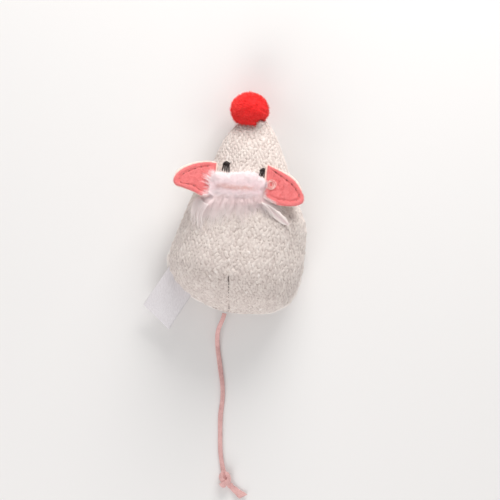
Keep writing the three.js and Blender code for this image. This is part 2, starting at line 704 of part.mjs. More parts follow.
const knot = new THREE.SphereGeometry(1, padSides, padRings)
  .scale(knotSize.x, knotSize.y, knotSize.z)
  .rotateZ(THREE.MathUtils.degToRad(knotLean));
const knotMesh = addPiece(tail, 'tail_knot', knot, 'lace');
knotMesh.position.copy(fromExit(knotPlace));

const tipFlat = new THREE.Shape();
tipFlat.moveTo(tipStart, -laceWidth / 2);
tipFlat.lineTo(tipStart + tipLength, -tipEndWidth / 2);
tipFlat.lineTo(tipStart + tipLength, tipEndWidth / 2);
tipFlat.lineTo(tipStart, laceWidth / 2);
tipFlat.closePath();
const tip = new THREE.ExtrudeGeometry(tipFlat, { depth: tipThickness, bevelEnabled: false })
  .translate(0, 0, -tipThickness / 2)
  .rotateZ(THREE.MathUtils.degToRad(tipLean));
const tipMesh = addPiece(tail, 'tail_tip', tip, 'lace');
tipMesh.position.copy(fromExit(tipPlace));

export default mouse;
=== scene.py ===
# Catnip mouse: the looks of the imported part. Metres, in the part's own frame: +Y to the nose, +Z up.
import json
import math

import bmesh
import bpy
import numpy as np
from mathutils import Matrix, Vector


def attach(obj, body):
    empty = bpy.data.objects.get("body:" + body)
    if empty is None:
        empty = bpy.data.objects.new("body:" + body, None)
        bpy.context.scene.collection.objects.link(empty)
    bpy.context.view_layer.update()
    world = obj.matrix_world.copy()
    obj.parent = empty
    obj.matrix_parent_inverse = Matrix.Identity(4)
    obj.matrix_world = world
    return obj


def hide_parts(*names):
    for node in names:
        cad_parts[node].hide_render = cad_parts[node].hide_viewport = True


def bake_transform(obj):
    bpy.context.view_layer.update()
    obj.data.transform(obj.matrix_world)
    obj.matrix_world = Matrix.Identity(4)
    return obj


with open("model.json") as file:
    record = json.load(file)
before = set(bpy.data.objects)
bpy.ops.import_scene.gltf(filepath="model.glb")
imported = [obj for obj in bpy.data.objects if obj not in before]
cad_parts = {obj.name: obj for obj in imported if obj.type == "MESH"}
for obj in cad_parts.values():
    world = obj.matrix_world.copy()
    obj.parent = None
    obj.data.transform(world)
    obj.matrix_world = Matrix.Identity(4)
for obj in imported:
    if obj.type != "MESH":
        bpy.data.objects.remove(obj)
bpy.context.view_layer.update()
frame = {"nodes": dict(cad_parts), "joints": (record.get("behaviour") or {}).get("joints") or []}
scene = bpy.context.scene


# The view, floor and light. The toy is seen from straight above through a long lens, the picture turned a
# little against the body, on a pale floor. The main light stands before the nose, and a weaker one behind.
view_centre = Vector((0.0073, -0.0107, 0.010))
view_width = 0.19325
view_turn = math.radians(7.5)
view_lens = 600
view_sensor = 36
floor_half = 2.0
floor_colour = (0.86, 0.848, 0.842)
main_light = {"place": (0.06, 0.52, 0.23), "size": 0.40, "power": 3.75, "colour": (1.0, 0.985, 0.965)}
rear_light = {"place": (-0.10, -0.66, 0.41), "size": 0.50, "power": 2.75, "colour": (1.0, 0.985, 0.975)}
sky_colour = (1.0, 0.995, 0.995)
sky_strength = 0.465


def show(name, data):
    piece = bpy.data.objects.new(name, data)
    scene.collection.objects.link(piece)
    return piece


def mesh_piece(name, points, faces, smooth=True):
    mesh = bpy.data.meshes.new(name)
    mesh.from_pydata([tuple(p) for p in points], [], [tuple(f) for f in faces])
    mesh.polygons.foreach_set("use_smooth", [smooth] * len(mesh.polygons))
    return show(name, mesh)


def add_node(tree, kind, inputs=None, **settings):
    """Adds a node. inputs gives a value, or the socket that feeds it, for each named or numbered input."""
    node = tree.nodes.new(kind)
    for name, value in settings.items():
        setattr(node, name, value)
    for name, value in (inputs or {}).items():
        if isinstance(value, bpy.types.NodeSocket):
            tree.links.new(value, node.inputs[name])
        else:
            node.inputs[name].default_value = value
    return node


def new_material(name, roughness, **plain):
    """A material with its shader. plain gives values that are the same all over the surface."""
    material = bpy.data.materials.new(name)
    material.use_nodes = True
    shader = material.node_tree.nodes["Principled BSDF"]
    shader.inputs["Roughness"].default_value = roughness
    for socket, value in plain.items():
        shader.inputs[socket.replace("_", " ")].default_value = value
    return material, material.node_tree, shader


def add_light(name, place, size, power, colour):
    data = bpy.data.lights.new(name, "AREA")
    data.size = size
    data.energy = power
    data.color = colour
    lamp = show(name, data)
    lamp.location = place
    lamp.rotation_euler = (-Vector(place)).to_track_quat("-Z", "Y").to_euler()


view_data = bpy.data.cameras.new("view")
view_data.lens = view_lens
view_data.sensor_width = view_sensor
view = show("view", view_data)
view.location = view_centre + Vector((0, 0, view_width * view_lens / view_sensor))
view.rotation_euler = (0, 0, view_turn)
scene.camera = view

floor_corners = [(x * floor_half, y * floor_half, 0) for x, y in ((-1, -1), (1, -1), (1, 1), (-1, 1))]
floor = mesh_piece("studio_floor", floor_corners, [(0, 1, 2, 3)])
floor_material, _, floor_shader = new_material("pale_floor", 0.9)
floor_shader.inputs["Base Color"].default_value = (*floor_colour, 1)
floor.data.materials.append(floor_material)

add_light("main_light", **main_light)
add_light("rear_light", **rear_light)
sky = bpy.data.worlds.new("sky")
sky.use_nodes = True
sky.node_tree.nodes["Background"].inputs["Color"].default_value = (*sky_colour, 1)
sky.node_tree.nodes["Background"].inputs["Strength"].default_value = sky_strength
scene.world = sky
scene.view_settings.view_transform = "Standard"


# The tail: one flat lace of dusty pink faux suede. It comes out of the rump seam, falls to the floor and
# lies along it to an overhand knot, with a short cut end beyond. Its route is the one that the solids take.
lace_width = 0.00175
lace_thickness = 0.00105
lace_route = 0.001 * np.array([
    (0.724, -36.236, 8.5), (0.4, -38.3, 8.4), (-0.2, -40.4, 7.6), (-0.7, -42.3, 6.1), (-0.9, -44.1, 4.2),
    (-0.8, -46.0, 2.5), (-0.5, -48.2, 1.4), (0.0, -50.6, 1.0), (0.7, -53.2, 0.93), (1.5, -56.2, 0.93),
    (2.4, -59.6, 0.93), (3.3, -63.0, 0.93), (4.0, -66.6, 0.93), (4.3, -70.4, 0.93), (4.3, -74.4, 0.93),
    (4.6, -78.4, 0.93), (5.1, -82.4, 0.93), (5.6, -86.2, 0.93), (6.2, -89.8, 0.93), (7.1, -93.4, 0.93),
    (8.2, -96.8, 0.93),
])
lace_steps = 8
section_points = 20
section_power = 0.55


def curve_through(points, steps):
    """A smooth open curve through points, with as many steps from each to the next."""
    points = np.asarray(points, float)
    ends = [2 * points[0] - points[1]], [2 * points[-1] - points[-2]]
    held = np.concatenate([ends[0], points, ends[1]])
    line = []
    for a, b, c, d in zip(held, held[1:], held[2:], held[3:]):
        gaps = [max(np.linalg.norm(q - p), 1e-9) ** 0.5 for p, q in ((a, b), (b, c), (c, d))]
        out = ((b - a) / gaps[0] - (c - a) / (gaps[0] + gaps[1]) + (c - b) / gaps[1]) * gaps[1]
        into = ((c - b) / gaps[1] - (d - b) / (gaps[1] + gaps[2]) + (d - c) / gaps[2]) * gaps[1]
        t = np.linspace(0, 1, steps, endpoint=False)[:, None]
        line.append(b + out * t + (3 * (c - b) - 2 * out - into) * t**2 + (2 * (b - c) + out + into) * t**3)
    return np.concatenate([*line, points[-1:]])


def unit(vectors):
    return vectors / np.maximum(np.linalg.norm(vectors, axis=-1, keepdims=True), 1e-12)


def grid_faces(rows, columns, ring=False, first=0):
    """Quads between the points of a grid, whose columns close on themselves in a ring."""
    i, j = np.meshgrid(np.arange(rows - 1), np.arange(columns if ring else columns - 1), indexing="ij")
    near, far = first + i * columns, first + (i + 1) * columns
    after = (j + 1) % columns
    return np.stack([near + j, far + j, far + after, near + after], -1).reshape(-1, 4)


def run_along(line):
    """How far along a line each of its points lies."""
    return np.concatenate([[0], np.cumsum(np.linalg.norm(np.diff(line, axis=0), axis=1))])


def side_of(line):
    """The level way across a line, at each of its points."""
    return unit(np.cross(np.gradient(line, axis=0), (0, 0, 1)))


def flat_lace(name, line, facing, widths, thickness, slant=0.0):
    """A lace of flat section along a line, cut off at a slant. facing is the way that its face looks."""
    travel = unit(np.gradient(line, axis=0))
    across = unit(np.cross(facing, travel))
    face = np.cross(travel, across)
    turn = np.linspace(0, 2 * math.pi, section_points, endpoint=False)
    side, rise = [np.sign(wave) * np.abs(wave) ** section_power / 2 for wave in (np.cos(turn), np.sin(turn))]
    widths, thickness = [np.broadcast_to(size, len(line))[:, None, None] for size in (widths, thickness)]
    rings = line[:, None] + across[:, None] * side[:, None] * widths
    rings = rings + face[:, None] * rise[:, None] * thickness
    near_end = np.linspace(0, 1, len(line))[:, None, None] ** 3
    rings = rings + travel[:, None] * side[:, None] * widths * slant * near_end
    faces = [tuple(f) for f in grid_faces(len(line), section_points, ring=True)]
    last = (len(line) - 1) * section_points
    faces.append(tuple(range(section_points)))
    faces.append(tuple(last + k for k in reversed(range(section_points))))
    return mesh_piece(name, rings.reshape(-1, 3), faces)


def mottle(x, y, size, seed):
    """Soft noise from -1 to 1 over a plane, with patches of the given size."""
    table = np.random.default_rng(seed).uniform(-1, 1, (257, 257))
    x, y = np.asarray(x) / size, np.asarray(y) / size
    i, j = np.floor(x).astype(int), np.floor(y).astype(int)
    s, t = x - i, y - j
    s, t = s * s * (3 - 2 * s), t * t * (3 - 2 * t)
    rows = [table[(i + a) % 257, (j + b) % 257] for a, b in ((0, 0), (1, 0), (0, 1), (1, 1))]
    return (rows[0] * (1 - s) + rows[1] * s) * (1 - t) + (rows[2] * (1 - s) + rows[3] * s) * t


# Where it lies on the floor the lace rolls from side to side, and rests on what is then its lowest part
floor_start, floor_ease = 0.006, 0.005
roll, roll_run, roll_start = 0.42, 0.0078, 0.7
quiver, quiver_run = 0.16, 0.0031
floor_gap = 0.00003
route_height = 0.00093
resting_share = 0.49
width_change, width_patch = 0.07, 0.006
lace_line = curve_through(lace_route, lace_steps)
lace_run = run_along(lace_line)
on_floor = np.clip((floor_start - lace_line[:, 2]) / floor_ease, 0, 1)
lace_roll = roll * np.sin(lace_run / roll_run + roll_start) + quiver * np.sin(lace_run / quiver_run)
lace_roll = lace_roll * on_floor
lace_depth = lace_width * np.abs(np.sin(lace_roll)) + lace_thickness * np.cos(lace_roll)
lace_line[:, 2] += (floor_gap + lace_depth * resting_share - route_height) * on_floor**2
lace_side = side_of(lace_line)
lace_up = unit(np.cross(lace_side, np.gradient(lace_line, axis=0)))
lace_facing = lace_up * np.cos(lace_roll)[:, None] + lace_side * np.sin(lace_roll)[:, None]
lace_widths = lace_width * (1 + width_change * mottle(lace_run, 0 * lace_run, width_patch, 3))
tail_lace = flat_lace("tail_lace", lace_line, lace_facing, lace_widths, lace_thickness)

# The grain that every fibrous surface shares: a colour that varies from fibre to fibre, and a fine relief
grain_group = bpy.data.node_groups.new("fibre_grain", "ShaderNodeTree")
for label, kind, value in (
    ("Colour", "NodeSocketColor", (0.5, 0.5, 0.5, 1)),
    ("Deep Colour", "NodeSocketColor", (0.3, 0.3, 0.3, 1)),
    ("Size", "NodeSocketFloat", 0.0003),
    ("Patch Size", "NodeSocketFloat", 0.004),
):
    grain_group.interface.new_socket(label, in_out="INPUT", socket_type=kind).default_value = value
grain_group.interface.new_socket("Colour", in_out="OUTPUT", socket_type="NodeSocketColor")
grain_group.interface.new_socket("Height", in_out="OUTPUT", socket_type="NodeSocketFloat")


def number(tree, operation, first, second=0.0):
    return add_node(tree, "ShaderNodeMath", {0: first, 1: second}, operation=operation).outputs[0]


def noise_of(tree, place, size, detail):
    """Noise whose grains have the given size, which is a socket or a number."""
    scale = number(tree, "DIVIDE", 1.0, size)
    inputs = {"Vector": place, "Scale": scale, "Detail": detail}
    return add_node(tree, "ShaderNodeTexNoise", inputs).outputs["Fac"]


def mix_colours(tree, share, first, second):
    return add_node(tree, "ShaderNodeMix", {0: share, 6: first, 7: second}, data_type="RGBA").outputs[2]


def ramp(tree, value, low, high):
    """A value spread from 0 at low to 1 at high, and held there."""
    return add_node(tree, "ShaderNodeMapRange", {0: value, 1: low, 2: high}, clamp=True).outputs[0]


grain_in = grain_group.nodes.new("NodeGroupInput").outputs
grain_place = add_node(grain_group, "ShaderNodeTexCoord").outputs["Object"]
fine_grain = noise_of(grain_group, grain_place, grain_in["Size"], 3.0)
wide_grain = noise_of(grain_group, grain_place, grain_in["Patch Size"], 2.0)
grain_share = number(grain_group, "MULTIPLY", ramp(grain_group, fine_grain, 0.32, 0.62),
                     ramp(grain_group, wide_grain, 0.25, 0.7))
grain_share = number(grain_group, "POWER", grain_share, 0.5)
grain_colour = mix_colours(grain_group, grain_share, grain_in["Deep Colour"], grain_in["Colour"])
add_node(grain_group, "NodeGroupOutput", {"Colour": grain_colour, "Height": fine_grain})


def linear(red, green, blue):
    """A colour as seen, 0 to 255, in the shader's own scale."""
    return (*[((c / 255 + 0.055) / 1.055) ** 2.4 if c > 10 else c / 3294.6 for c in (red, green, blue)], 1)


def add_relief(tree, shader, height, depth):
    bump = add_node(tree, "ShaderNodeBump", {"Height": height, "Distance": depth})
    tree.links.new(bump.outputs["Normal"], shader.inputs["Normal"])


def grained_material(name, colour, deep, size, patch, relief, roughness, **plain):
    """A fibrous material: the shared grain's colours on the shader, and its relief as a bump."""
    material, tree, shader = new_material(name, roughness, **plain)
    grain = add_node(tree, "ShaderNodeGroup", node_tree=grain_group)
    grain.inputs["Colour"].default_value = linear(*colour)
    grain.inputs["Deep Colour"].default_value = linear(*deep)
    grain.inputs["Size"].default_value = size
    grain.inputs["Patch Size"].default_value = patch
    tree.links.new(grain.outputs["Colour"], shader.inputs["Base Color"])
    add_relief(tree, shader, grain.outputs["Height"], relief)
    return material


suede = grained_material("pink_suede", (240, 194, 190), (208, 156, 154), 0.00026, 0.0020, 0.00016, 0.92,
                         Sheen_Weight=0.2, Sheen_Roughness=0.5)
tail_lace.data.materials.append(suede)

# The knot, in its own frame: X to the right of the lace, Y back along it, Z up
knot_centre = np.array((0.0093, -0.1001, 0.0021))
knot_turn = math.radians(18)
knot_route = 0.001 * np.array([
    (0.0, 4.2, -1.45), (0.0, 3.0, -0.85), (0.0, 1.7, 0.15), (0.0, 0.3, 0.25), (-0.2, -1.1, -0.45),
    (-0.9, -2.2, -0.95), (-1.75, -2.05, -0.35), (-1.25, -1.7, 0.75), (0.0, -1.45, 1.2), (1.05, -0.95, 1.0),
    (1.6, 0.2, 0.6), (1.3, 1.6, 0.5), (0.95, 2.45, -0.35), (0.0, 2.6, -1.1), (-0.95, 2.45, -0.35),
    (-1.3, 1.6, 0.55), (-1.2, 0.35, 0.9), (-0.45, -0.7, 0.75), (0.55, -1.6, 0.0), (1.5, -2.3, -0.9),
    (2.3, -2.7, -1.35),
])
knot_steps = 9
knot_face_shares, knot_face_lift = (0.9, 0.5, 1), (0, 0, 0.0004)
knot_widening = 0.22
knot_pressed = 0.92
knot_bound = np.array([[math.cos(knot_turn), -math.sin(knot_turn), 0],
                       [math.sin(knot_turn), math.cos(knot_turn), 0], [0, 0, 1]])
knot_local = curve_through(knot_route, knot_steps)
knot_line = knot_centre + knot_local @ knot_bound.T
knot_facing = unit(knot_local * knot_face_shares + knot_face_lift) @ knot_bound.T
knot_share = np.linspace(0, 1, len(knot_local))
knot_widths = lace_width * (1 + knot_widening * np.sin(math.pi * knot_share))
lace_knot = flat_lace("lace_knot", knot_line, knot_facing, knot_widths, lace_thickness * knot_pressed)
lace_knot.data.materials.append(suede)

# The free end, flaring to its slanted cut
end_route = 0.001 * np.array([
    (10.9, -101.8, 0.75), (12.2, -102.7, 0.62), (13.8, -103.7, 0.56), (15.5, -104.8, 0.75),
    (17.2, -105.8, 1.0),
])
end_steps = 10
end_width, end_flare, end_ripple = 0.0033, 1.2, 0.00012
end_thinning = 0.2
end_height, end_edge_height = 0.00056, 0.0010
end_slant = 0.5
end_roll_size, end_roll_run, end_roll_start = 0.30, 6, 0.4
end_line = curve_through(end_route, end_steps)
end_share = np.linspace(0, 1, len(end_line))
end_roll = end_roll_size * np.sin(end_roll_run * end_share + end_roll_start)
end_side = side_of(end_line)
end_line[:, 2] = np.maximum(end_line[:, 2], end_height + end_edge_height * np.abs(np.sin(end_roll)))
end_facing = np.cos(end_roll)[:, None] * np.array((0, 0, 1)) + np.sin(end_roll)[:, None] * end_side
end_widths = lace_width + (end_width - lace_width) * end_share**end_flare
end_widths = end_widths + end_ripple * np.sin(17 * end_share)
end_thickness = lace_thickness * (1 - end_thinning * end_share)
lace_end = flat_lace("lace_end", end_line, end_facing, end_widths, end_thickness, end_slant)
lace_end.data.materials.append(suede)


def stand_in(piece, body, node):
    """The piece rides on a body and stands for a solid, whose part is hidden."""
    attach(piece, body)
    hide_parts(node)


for piece, node in ((tail_lace, "tail_cord"), (lace_knot, "tail_knot"), (lace_end, "tail_tip")):
    stand_in(piece, "tail", node)


# The stuffed body: two drop-shaped panels of coarse off-white basket weave, sewn together inside out, turned
# and filled. Each nub of the boucle yarn is in the mesh. The outline and the swell are those of the solids.
body_length = 0.0764
body_width = 0.0517
crown_rise = 0.0215
seam_height = 0.0105
seam_droop = 0.002
rest_depth = 0.0005
seam_gap = 0.00055
outline_shares = np.array([
    (0.050, 0.537), (0.143, 0.516), (0.197, 0.478), (0.261, 0.406), (0.344, 0.295), (0.418, 0.183),
    (0.487, 0.085), (0.538, 0.006), (0.549, -0.105), (0.541, -0.242), (0.495, -0.360), (0.393, -0.427),
    (0.222, -0.458), (0.014, -0.463), (-0.128, -0.442), (-0.279, -0.395), (-0.395, -0.331),
    (-0.451, -0.249), (-0.433, -0.155), (-0.395, -0.042), (-0.348, 0.081), (-0.279, 0.196),
    (-0.213, 0.295), (-0.168, 0.386), (-0.103, 0.461), (-0.031, 0.516),
])
rump_index = 13
outline_steps = 40
crest_share = 0.45
back_bulge = (2.2, 0.6)
belly_bulge = (2.6, 0.55)
nose_taper, rump_taper, belly_taper = 1.25, 1.6, 3
dart_share, dart_deep_share, dart_reach_share, dart_depth = 0.61, 0.76, 0.195, 0.0009
dart_points = 0.001 * np.array([(-0.2, -16.4), (0.4, -22.6), (2.0, -33.6), (2.1, -35.4)])

outline = np.concatenate([outline_shares[-3:], outline_shares, outline_shares[:4]])
outline = curve_through(outline * (body_width, body_length), outline_steps)
outline = outline[3 * outline_steps:][:len(outline_shares) * outline_steps + 1]
half_outline = rump_index * outline_steps
edge_lines = {"right": outline[:half_outline + 1], "left": outline[half_outline:][::-1]}
edge_runs = {}
edge_inward = {}
for side, line in edge_lines.items():
    run = run_along(line)
    edge_runs[side] = run / run[-1]
    travel = unit(np.gradient(line, axis=0)) * (1 if side == "right" else -1)
    edge_inward[side] = np.stack([travel[:, 1], -travel[:, 0]], -1)


def edge_at(side, along, inset):
    table = edge_runs[side]
    point = [np.interp(along, table, edge_lines[side][:, k]) for k in (0, 1)]
    inward = unit(np.stack([np.interp(along, table, edge_inward[side][:, k]) for k in (0, 1)], -1))
    return np.stack(point, -1) + inward * np.asarray(inset)[..., None]


def seam_at(along):
    return seam_height - seam_droop * (2 * along - 1) ** 2


def skin(along, across, inset=0.0, upper=True):
    """Points of the cloth. along runs from nose to tail, across from the left seam, -1, to the right, 1."""
    along, across = np.broadcast_arrays(np.asarray(along, float), np.asarray(across, float))
    left, right = edge_at("left", along, inset), edge_at("right", along, inset)
    fullness = np.linalg.norm(right - left, axis=-1) / body_width
    crest = left + (right - left) * crest_share
    plan = crest + (np.where((across < 0)[..., None], left, right) - crest) * np.abs(across)[..., None]
    seam = seam_at(along)
    if upper:
        power, ease = back_bulge
        rise = crown_rise * fullness ** (nose_taper + (rump_taper - nose_taper) * along)
        deep = np.clip((along - dart_share) / (dart_deep_share - dart_share), 0, 1)
        deep = deep * deep * (3 - 2 * deep)
        tuck = np.minimum(rise, dart_depth * deep * np.maximum(0, 1 - np.abs(across) / dart_reach_share))
        height = seam + seam_gap + rise * (1 - np.abs(across) ** power) ** ease - tuck
    else:
        power, ease = belly_bulge
        belly = 1 - np.maximum(0, 1 - fullness) ** belly_taper
        fall = (seam - seam_gap + rest_depth - inset) * belly
        height = np.maximum(inset, seam - seam_gap - fall * (1 - np.abs(across) ** power) ** ease)
    return np.concatenate([plan, height[..., None]], -1)


def on_back(x, y, lift=0.0):
    """The points of the back over plan points, lifted off the cloth."""
    x, y, lift = np.broadcast_arrays(np.asarray(x, float), np.asarray(y, float), np.asarray(lift, float))
    near, far = np.zeros(x.shape), np.ones(x.shape)
    for _ in range(34):
        along = (near + far) / 2
        left, right = edge_at("left", along, 0.0), edge_at("right", along, 0.0)
        gap = right - left
        ahead = gap[..., 0] * (y - left[..., 1]) - gap[..., 1] * (x - left[..., 0]) > 0
        far, near = np.where(ahead, along, far), np.where(ahead, near, along)
    left = edge_at("left", near, 0.0)
    gap = edge_at("right", near, 0.0) - left
    span = np.maximum((gap**2).sum(-1), 1e-12)
    share = ((x - left[..., 0]) * gap[..., 0] + (y - left[..., 1]) * gap[..., 1]) / span
    span = np.where(share < crest_share, crest_share, 1 - crest_share)
    return skin(near, np.clip((share - crest_share) / span, -1, 1), -lift, True)


# The cloth: how far apart its yarns lie, how far its nubs stand out, and how they differ. The nubs of the
# warp and of the weft each have a width, length and height of their own.
yarn_pitch = 0.00098
pick_pitch = 0.00132
yarn_wander = 0.00036
nub_height = 0.00038
nub_level = 0.62
nub_shift, nub_uneven, nub_lean, nub_dome = 0.12, 0.15, 0.35, 0.65
warp_nub, weft_nub = (0.70, 0.80, 1.0), (0.60, 0.38, 0.62)
speck_size, speck_height, speck_tone = 0.00062, 0.22, 1.5
nub_count = 211
nub_random = np.random.default_rng(11).uniform(-1, 1, (6, nub_count, nub_count))


def nubs(u, v):
    """Height, from 0 to 1, and tone of the nub on top, at points of the cloth."""
    u = u + yarn_wander * mottle(u, v, 0.0031, 21)
    v = v + yarn_wander * mottle(u, v, 0.0034, 22)
    i, j = np.floor(u / yarn_pitch).astype(int), np.floor(v / pick_pitch).astype(int)
    height, tone = np.zeros(u.shape), np.zeros(u.shape)
    for a, b in ((0, 0), (1, 0), (-1, 0), (0, 1), (0, -1)):
        k, m = i + a, j + b
        chance = nub_random[:, k % nub_count, m % nub_count]
        du = u / yarn_pitch - k - 0.5 - nub_shift * chance[0]
        dv = v / pick_pitch - m - 0.5 - nub_shift * chance[1]
        warp_up = (k + m) % 2 == 0
        wide, long, high = [np.where(warp_up, *sizes) for sizes in zip(warp_nub, weft_nub)]
        wide, long = wide * (1 + nub_uneven * chance[2]), long * (1 + nub_uneven * chance[3])
        lean = nub_lean * chance[5]
        dome = np.maximum(0, 1 - ((du + lean * dv) / wide) ** 2 - (dv / long) ** 2) ** nub_dome
        dome = dome * high * (1 + 0.22 * chance[4])
        tone = np.where(dome > height, chance[4] * 0.5 + chance[0] * 0.5, tone)
        height = np.maximum(height, dome)
    specks = np.clip((mottle(u, v, speck_size, 43) - 0.58) / 0.15, 0, 1)
    return height + speck_height * specks, tone + speck_tone * specks


# What the filling, the seams and the dart do to the cloth
dent_depth, dent_size, dent_ease = 0.00035, 0.0105, 0.006
fold_height, fold_run, fold_place, fold_width = 0.00022, 0.00075, 0.0022, 0.0018
fold_wander, fold_patch = 2.2, 0.008
coarse_fuzz, fine_fuzz = (0.00042, 0.05), (0.00026, 0.04)
dart_ease = 0.004
groove_depth, groove_width = 0.00046, 0.00045
bank_height, bank_place, bank_width = 0.00026, 0.0014, 0.0008
# The puckers at the dart's upper end: from, to, depth and width
pucker_lines = (
    ((-0.0001, -0.0172), (-0.0010, -0.0198), 0.00040, 0.00042),
    ((0.0020, -0.0182), (0.0043, -0.0198), 0.00040, 0.00050),
    ((0.0023, -0.0206), (0.0024, -0.0216), -0.00042, 0.0014),
    ((-0.0026, -0.0225), (-0.0027, -0.0235), -0.00025, 0.0013),
)
turn_in_width, turn_in_depth, turn_in_drop = 0.0013, 0.0007, 0.00048
# The last of these lifts the belly's lip into the palest colour of the weave: a painted highlight along its
# edge.
lip_place, lip_width, lip_depth, lip_level, lip_highlight_tone = 0.0009, 0.0010, 0.00100, 0.85, 2.4
nose_peak = (0.0043, 0.0378)
nose_draw = np.array((0.0000, 0.0009, 0.0022))
nose_pull_width, nose_pull_depth = 0.0013, 0.003
belly_weave_shift = 0.0004
floor_touch = 0.00002
cloth_thickness = 0.0012
inner_step = 6


def hill(distance, width, middle=0.0):
    """A smooth rise from 0 to 1 and back, of a given width about the middle."""
    return np.exp(-(((distance - middle) / width) ** 2))


def seam_to_seam(columns):
    """Places across a panel, closer together toward its seams."""
    return np.sin(math.pi * (np.linspace(0, 1, columns + 1) - 0.5))[None]


def with_dart(lift, base):
    """The back's lift with the dart: a narrow groove under its stitches, and puckers at its upper end."""
    from_dart = base[..., 0] - np.interp(-base[..., 1], -dart_points[:, 1], dart_points[:, 0])
    in_dart = np.clip((dart_points[0, 1] - base[..., 1]) / dart_ease, 0, 1)
    lift = lift - groove_depth * in_dart * hill(from_dart, groove_width)
    lift = lift + bank_height * in_dart * hill(np.abs(from_dart), bank_width, bank_place)
    for (x0, y0), (x1, y1), depth, width in pucker_lines:
        share = (base[..., 0] - x0) * (x1 - x0) + (base[..., 1] - y0) * (y1 - y0)
        share = np.clip(share / ((x1 - x0) ** 2 + (y1 - y0) ** 2), 0, 1)
        off = np.hypot(base[..., 0] - x0 - share * (x1 - x0), base[..., 1] - y0 - share * (y1 - y0))
        lift = lift - depth * hill(off, width)
    return lift


def outer_cloth(rows, columns, upper):
    """A panel's nubbly outer face: the places of its points, the points, and the nubs' height and tone."""
    even = np.linspace(0, 1, rows + 1)
    along = ((even + (1 - np.cos(math.pi * even)) / 2) / 2)[:, None]
    across = seam_to_seam(columns)
    base = skin(along, across, 0.0, upper)
    along, across = np.broadcast_arrays(along, across)

    steps = np.linalg.norm(np.diff(base, axis=1), axis=-1)
    run = np.concatenate([np.zeros((rows + 1, 1)), np.cumsum(steps, axis=1)], 1)
    middle = int(np.argmin(np.abs(across[0])))
    u = run - run[:, middle:middle + 1]
    v = np.broadcast_to(run_along(base[:, middle])[:, None], u.shape)
    to_seam = np.minimum(run, run[:, -1:] - run)

    outward = unit(np.cross(np.gradient(base, axis=0), np.gradient(base, axis=1)))
    outward *= 1 if upper else -1
    outward[[0, -1]] = outward[[1, -2]]
    out_plan = unit(base[..., :2] - skin(along, 0 * across, 0.0, upper)[..., :2])

    # Soft dents of the filling, and the small folds that the seam gathers
    dents = dent_depth * mottle(u, v, dent_size, 31 if upper else 32) * np.clip(to_seam / dent_ease, 0, 1)
    ripple = np.sin(v / fold_run + fold_wander * mottle(u * 0, v, fold_patch, 33))
    folds = fold_height * ripple * hill(to_seam, fold_width, fold_place)
    lift = dents + folds * np.clip((along - 0.1) * 5, 0, 1)
    if upper:
        lift = with_dart(lift, base)
    height, tone = nubs(u + (0 if upper else belly_weave_shift), v)
    # Along the belly's lip below the rump the tone is raised into a painted highlight, and its nubs are
    # lifted.
    if not upper:
        lip_here = np.clip((along - 0.5) * 5, 0, 1) * hill(to_seam, lip_width, lip_place)
        tone = tone + lip_highlight_tone * lip_here
        height = np.maximum(height, lip_level * lip_here)
    rough = mottle(u, v, coarse_fuzz[0], 41) * coarse_fuzz[1] + mottle(u, v, fine_fuzz[0], 42) * fine_fuzz[1]
    shape = base + outward * (lift + nub_height * (height - nub_level + rough))[..., None]

    # At the seam each panel turns in, and the belly stands out a little below the rump
    turn_in = np.clip(1 - to_seam / turn_in_width, 0, 1) ** 2
    shape[..., :2] -= out_plan * (turn_in_depth * turn_in)[..., None]
    shape[..., 2] -= turn_in_drop * turn_in * (1 if upper else -1)
    if upper:
        # The corner of the nose is drawn up into a small point beside the pom-pom
        nose_far = np.hypot(base[..., 0] - nose_peak[0], base[..., 1] - nose_peak[1])
        nose_pull = hill(nose_far, nose_pull_width) * (base[..., 2] > seam_height - nose_pull_depth)
        shape += nose_pull[..., None] * nose_draw
    else:
        shape[..., :2] += out_plan * (lip_depth * lip_here)[..., None]
        shape[..., 2] = np.maximum(shape[..., 2], floor_touch)
    return along, across, shape, height, tone


def border_of(rows, columns, first=0):
    """The points round the edge of a grid, in the order in which its outer faces meet the wall."""
    grid = first + np.arange(rows * columns).reshape(rows, columns)
    ring = [*grid[0, :-1], *grid[:-1, -1], *grid[-1, :0:-1], *grid[:0:-1, 0]]
    return [int(k) for k in ring]


def mark(mesh, label, values, kind="FLOAT"):
    """Writes a value for each point of a mesh, or the same for all, where a material or a tree reads it."""
    count = len(mesh.vertices)
    field, shape = ("value", count) if kind == "FLOAT" else ("vector", (count, 3))
    attribute = mesh.attributes.new(label, kind, "POINT")
    attribute.data.foreach_set(field, np.broadcast_to(values, shape).astype(np.float32).ravel())


def close_poles(piece):
    """Joins the points that meet at the nose and at the tail."""
    shell = bmesh.new()
    shell.from_mesh(piece.data)
    bmesh.ops.remove_doubles(shell, verts=shell.verts, dist=1e-6)
    bmesh.ops.dissolve_degenerate(shell, edges=shell.edges, dist=1e-7)
    shell.to_mesh(piece.data)
    shell.free()


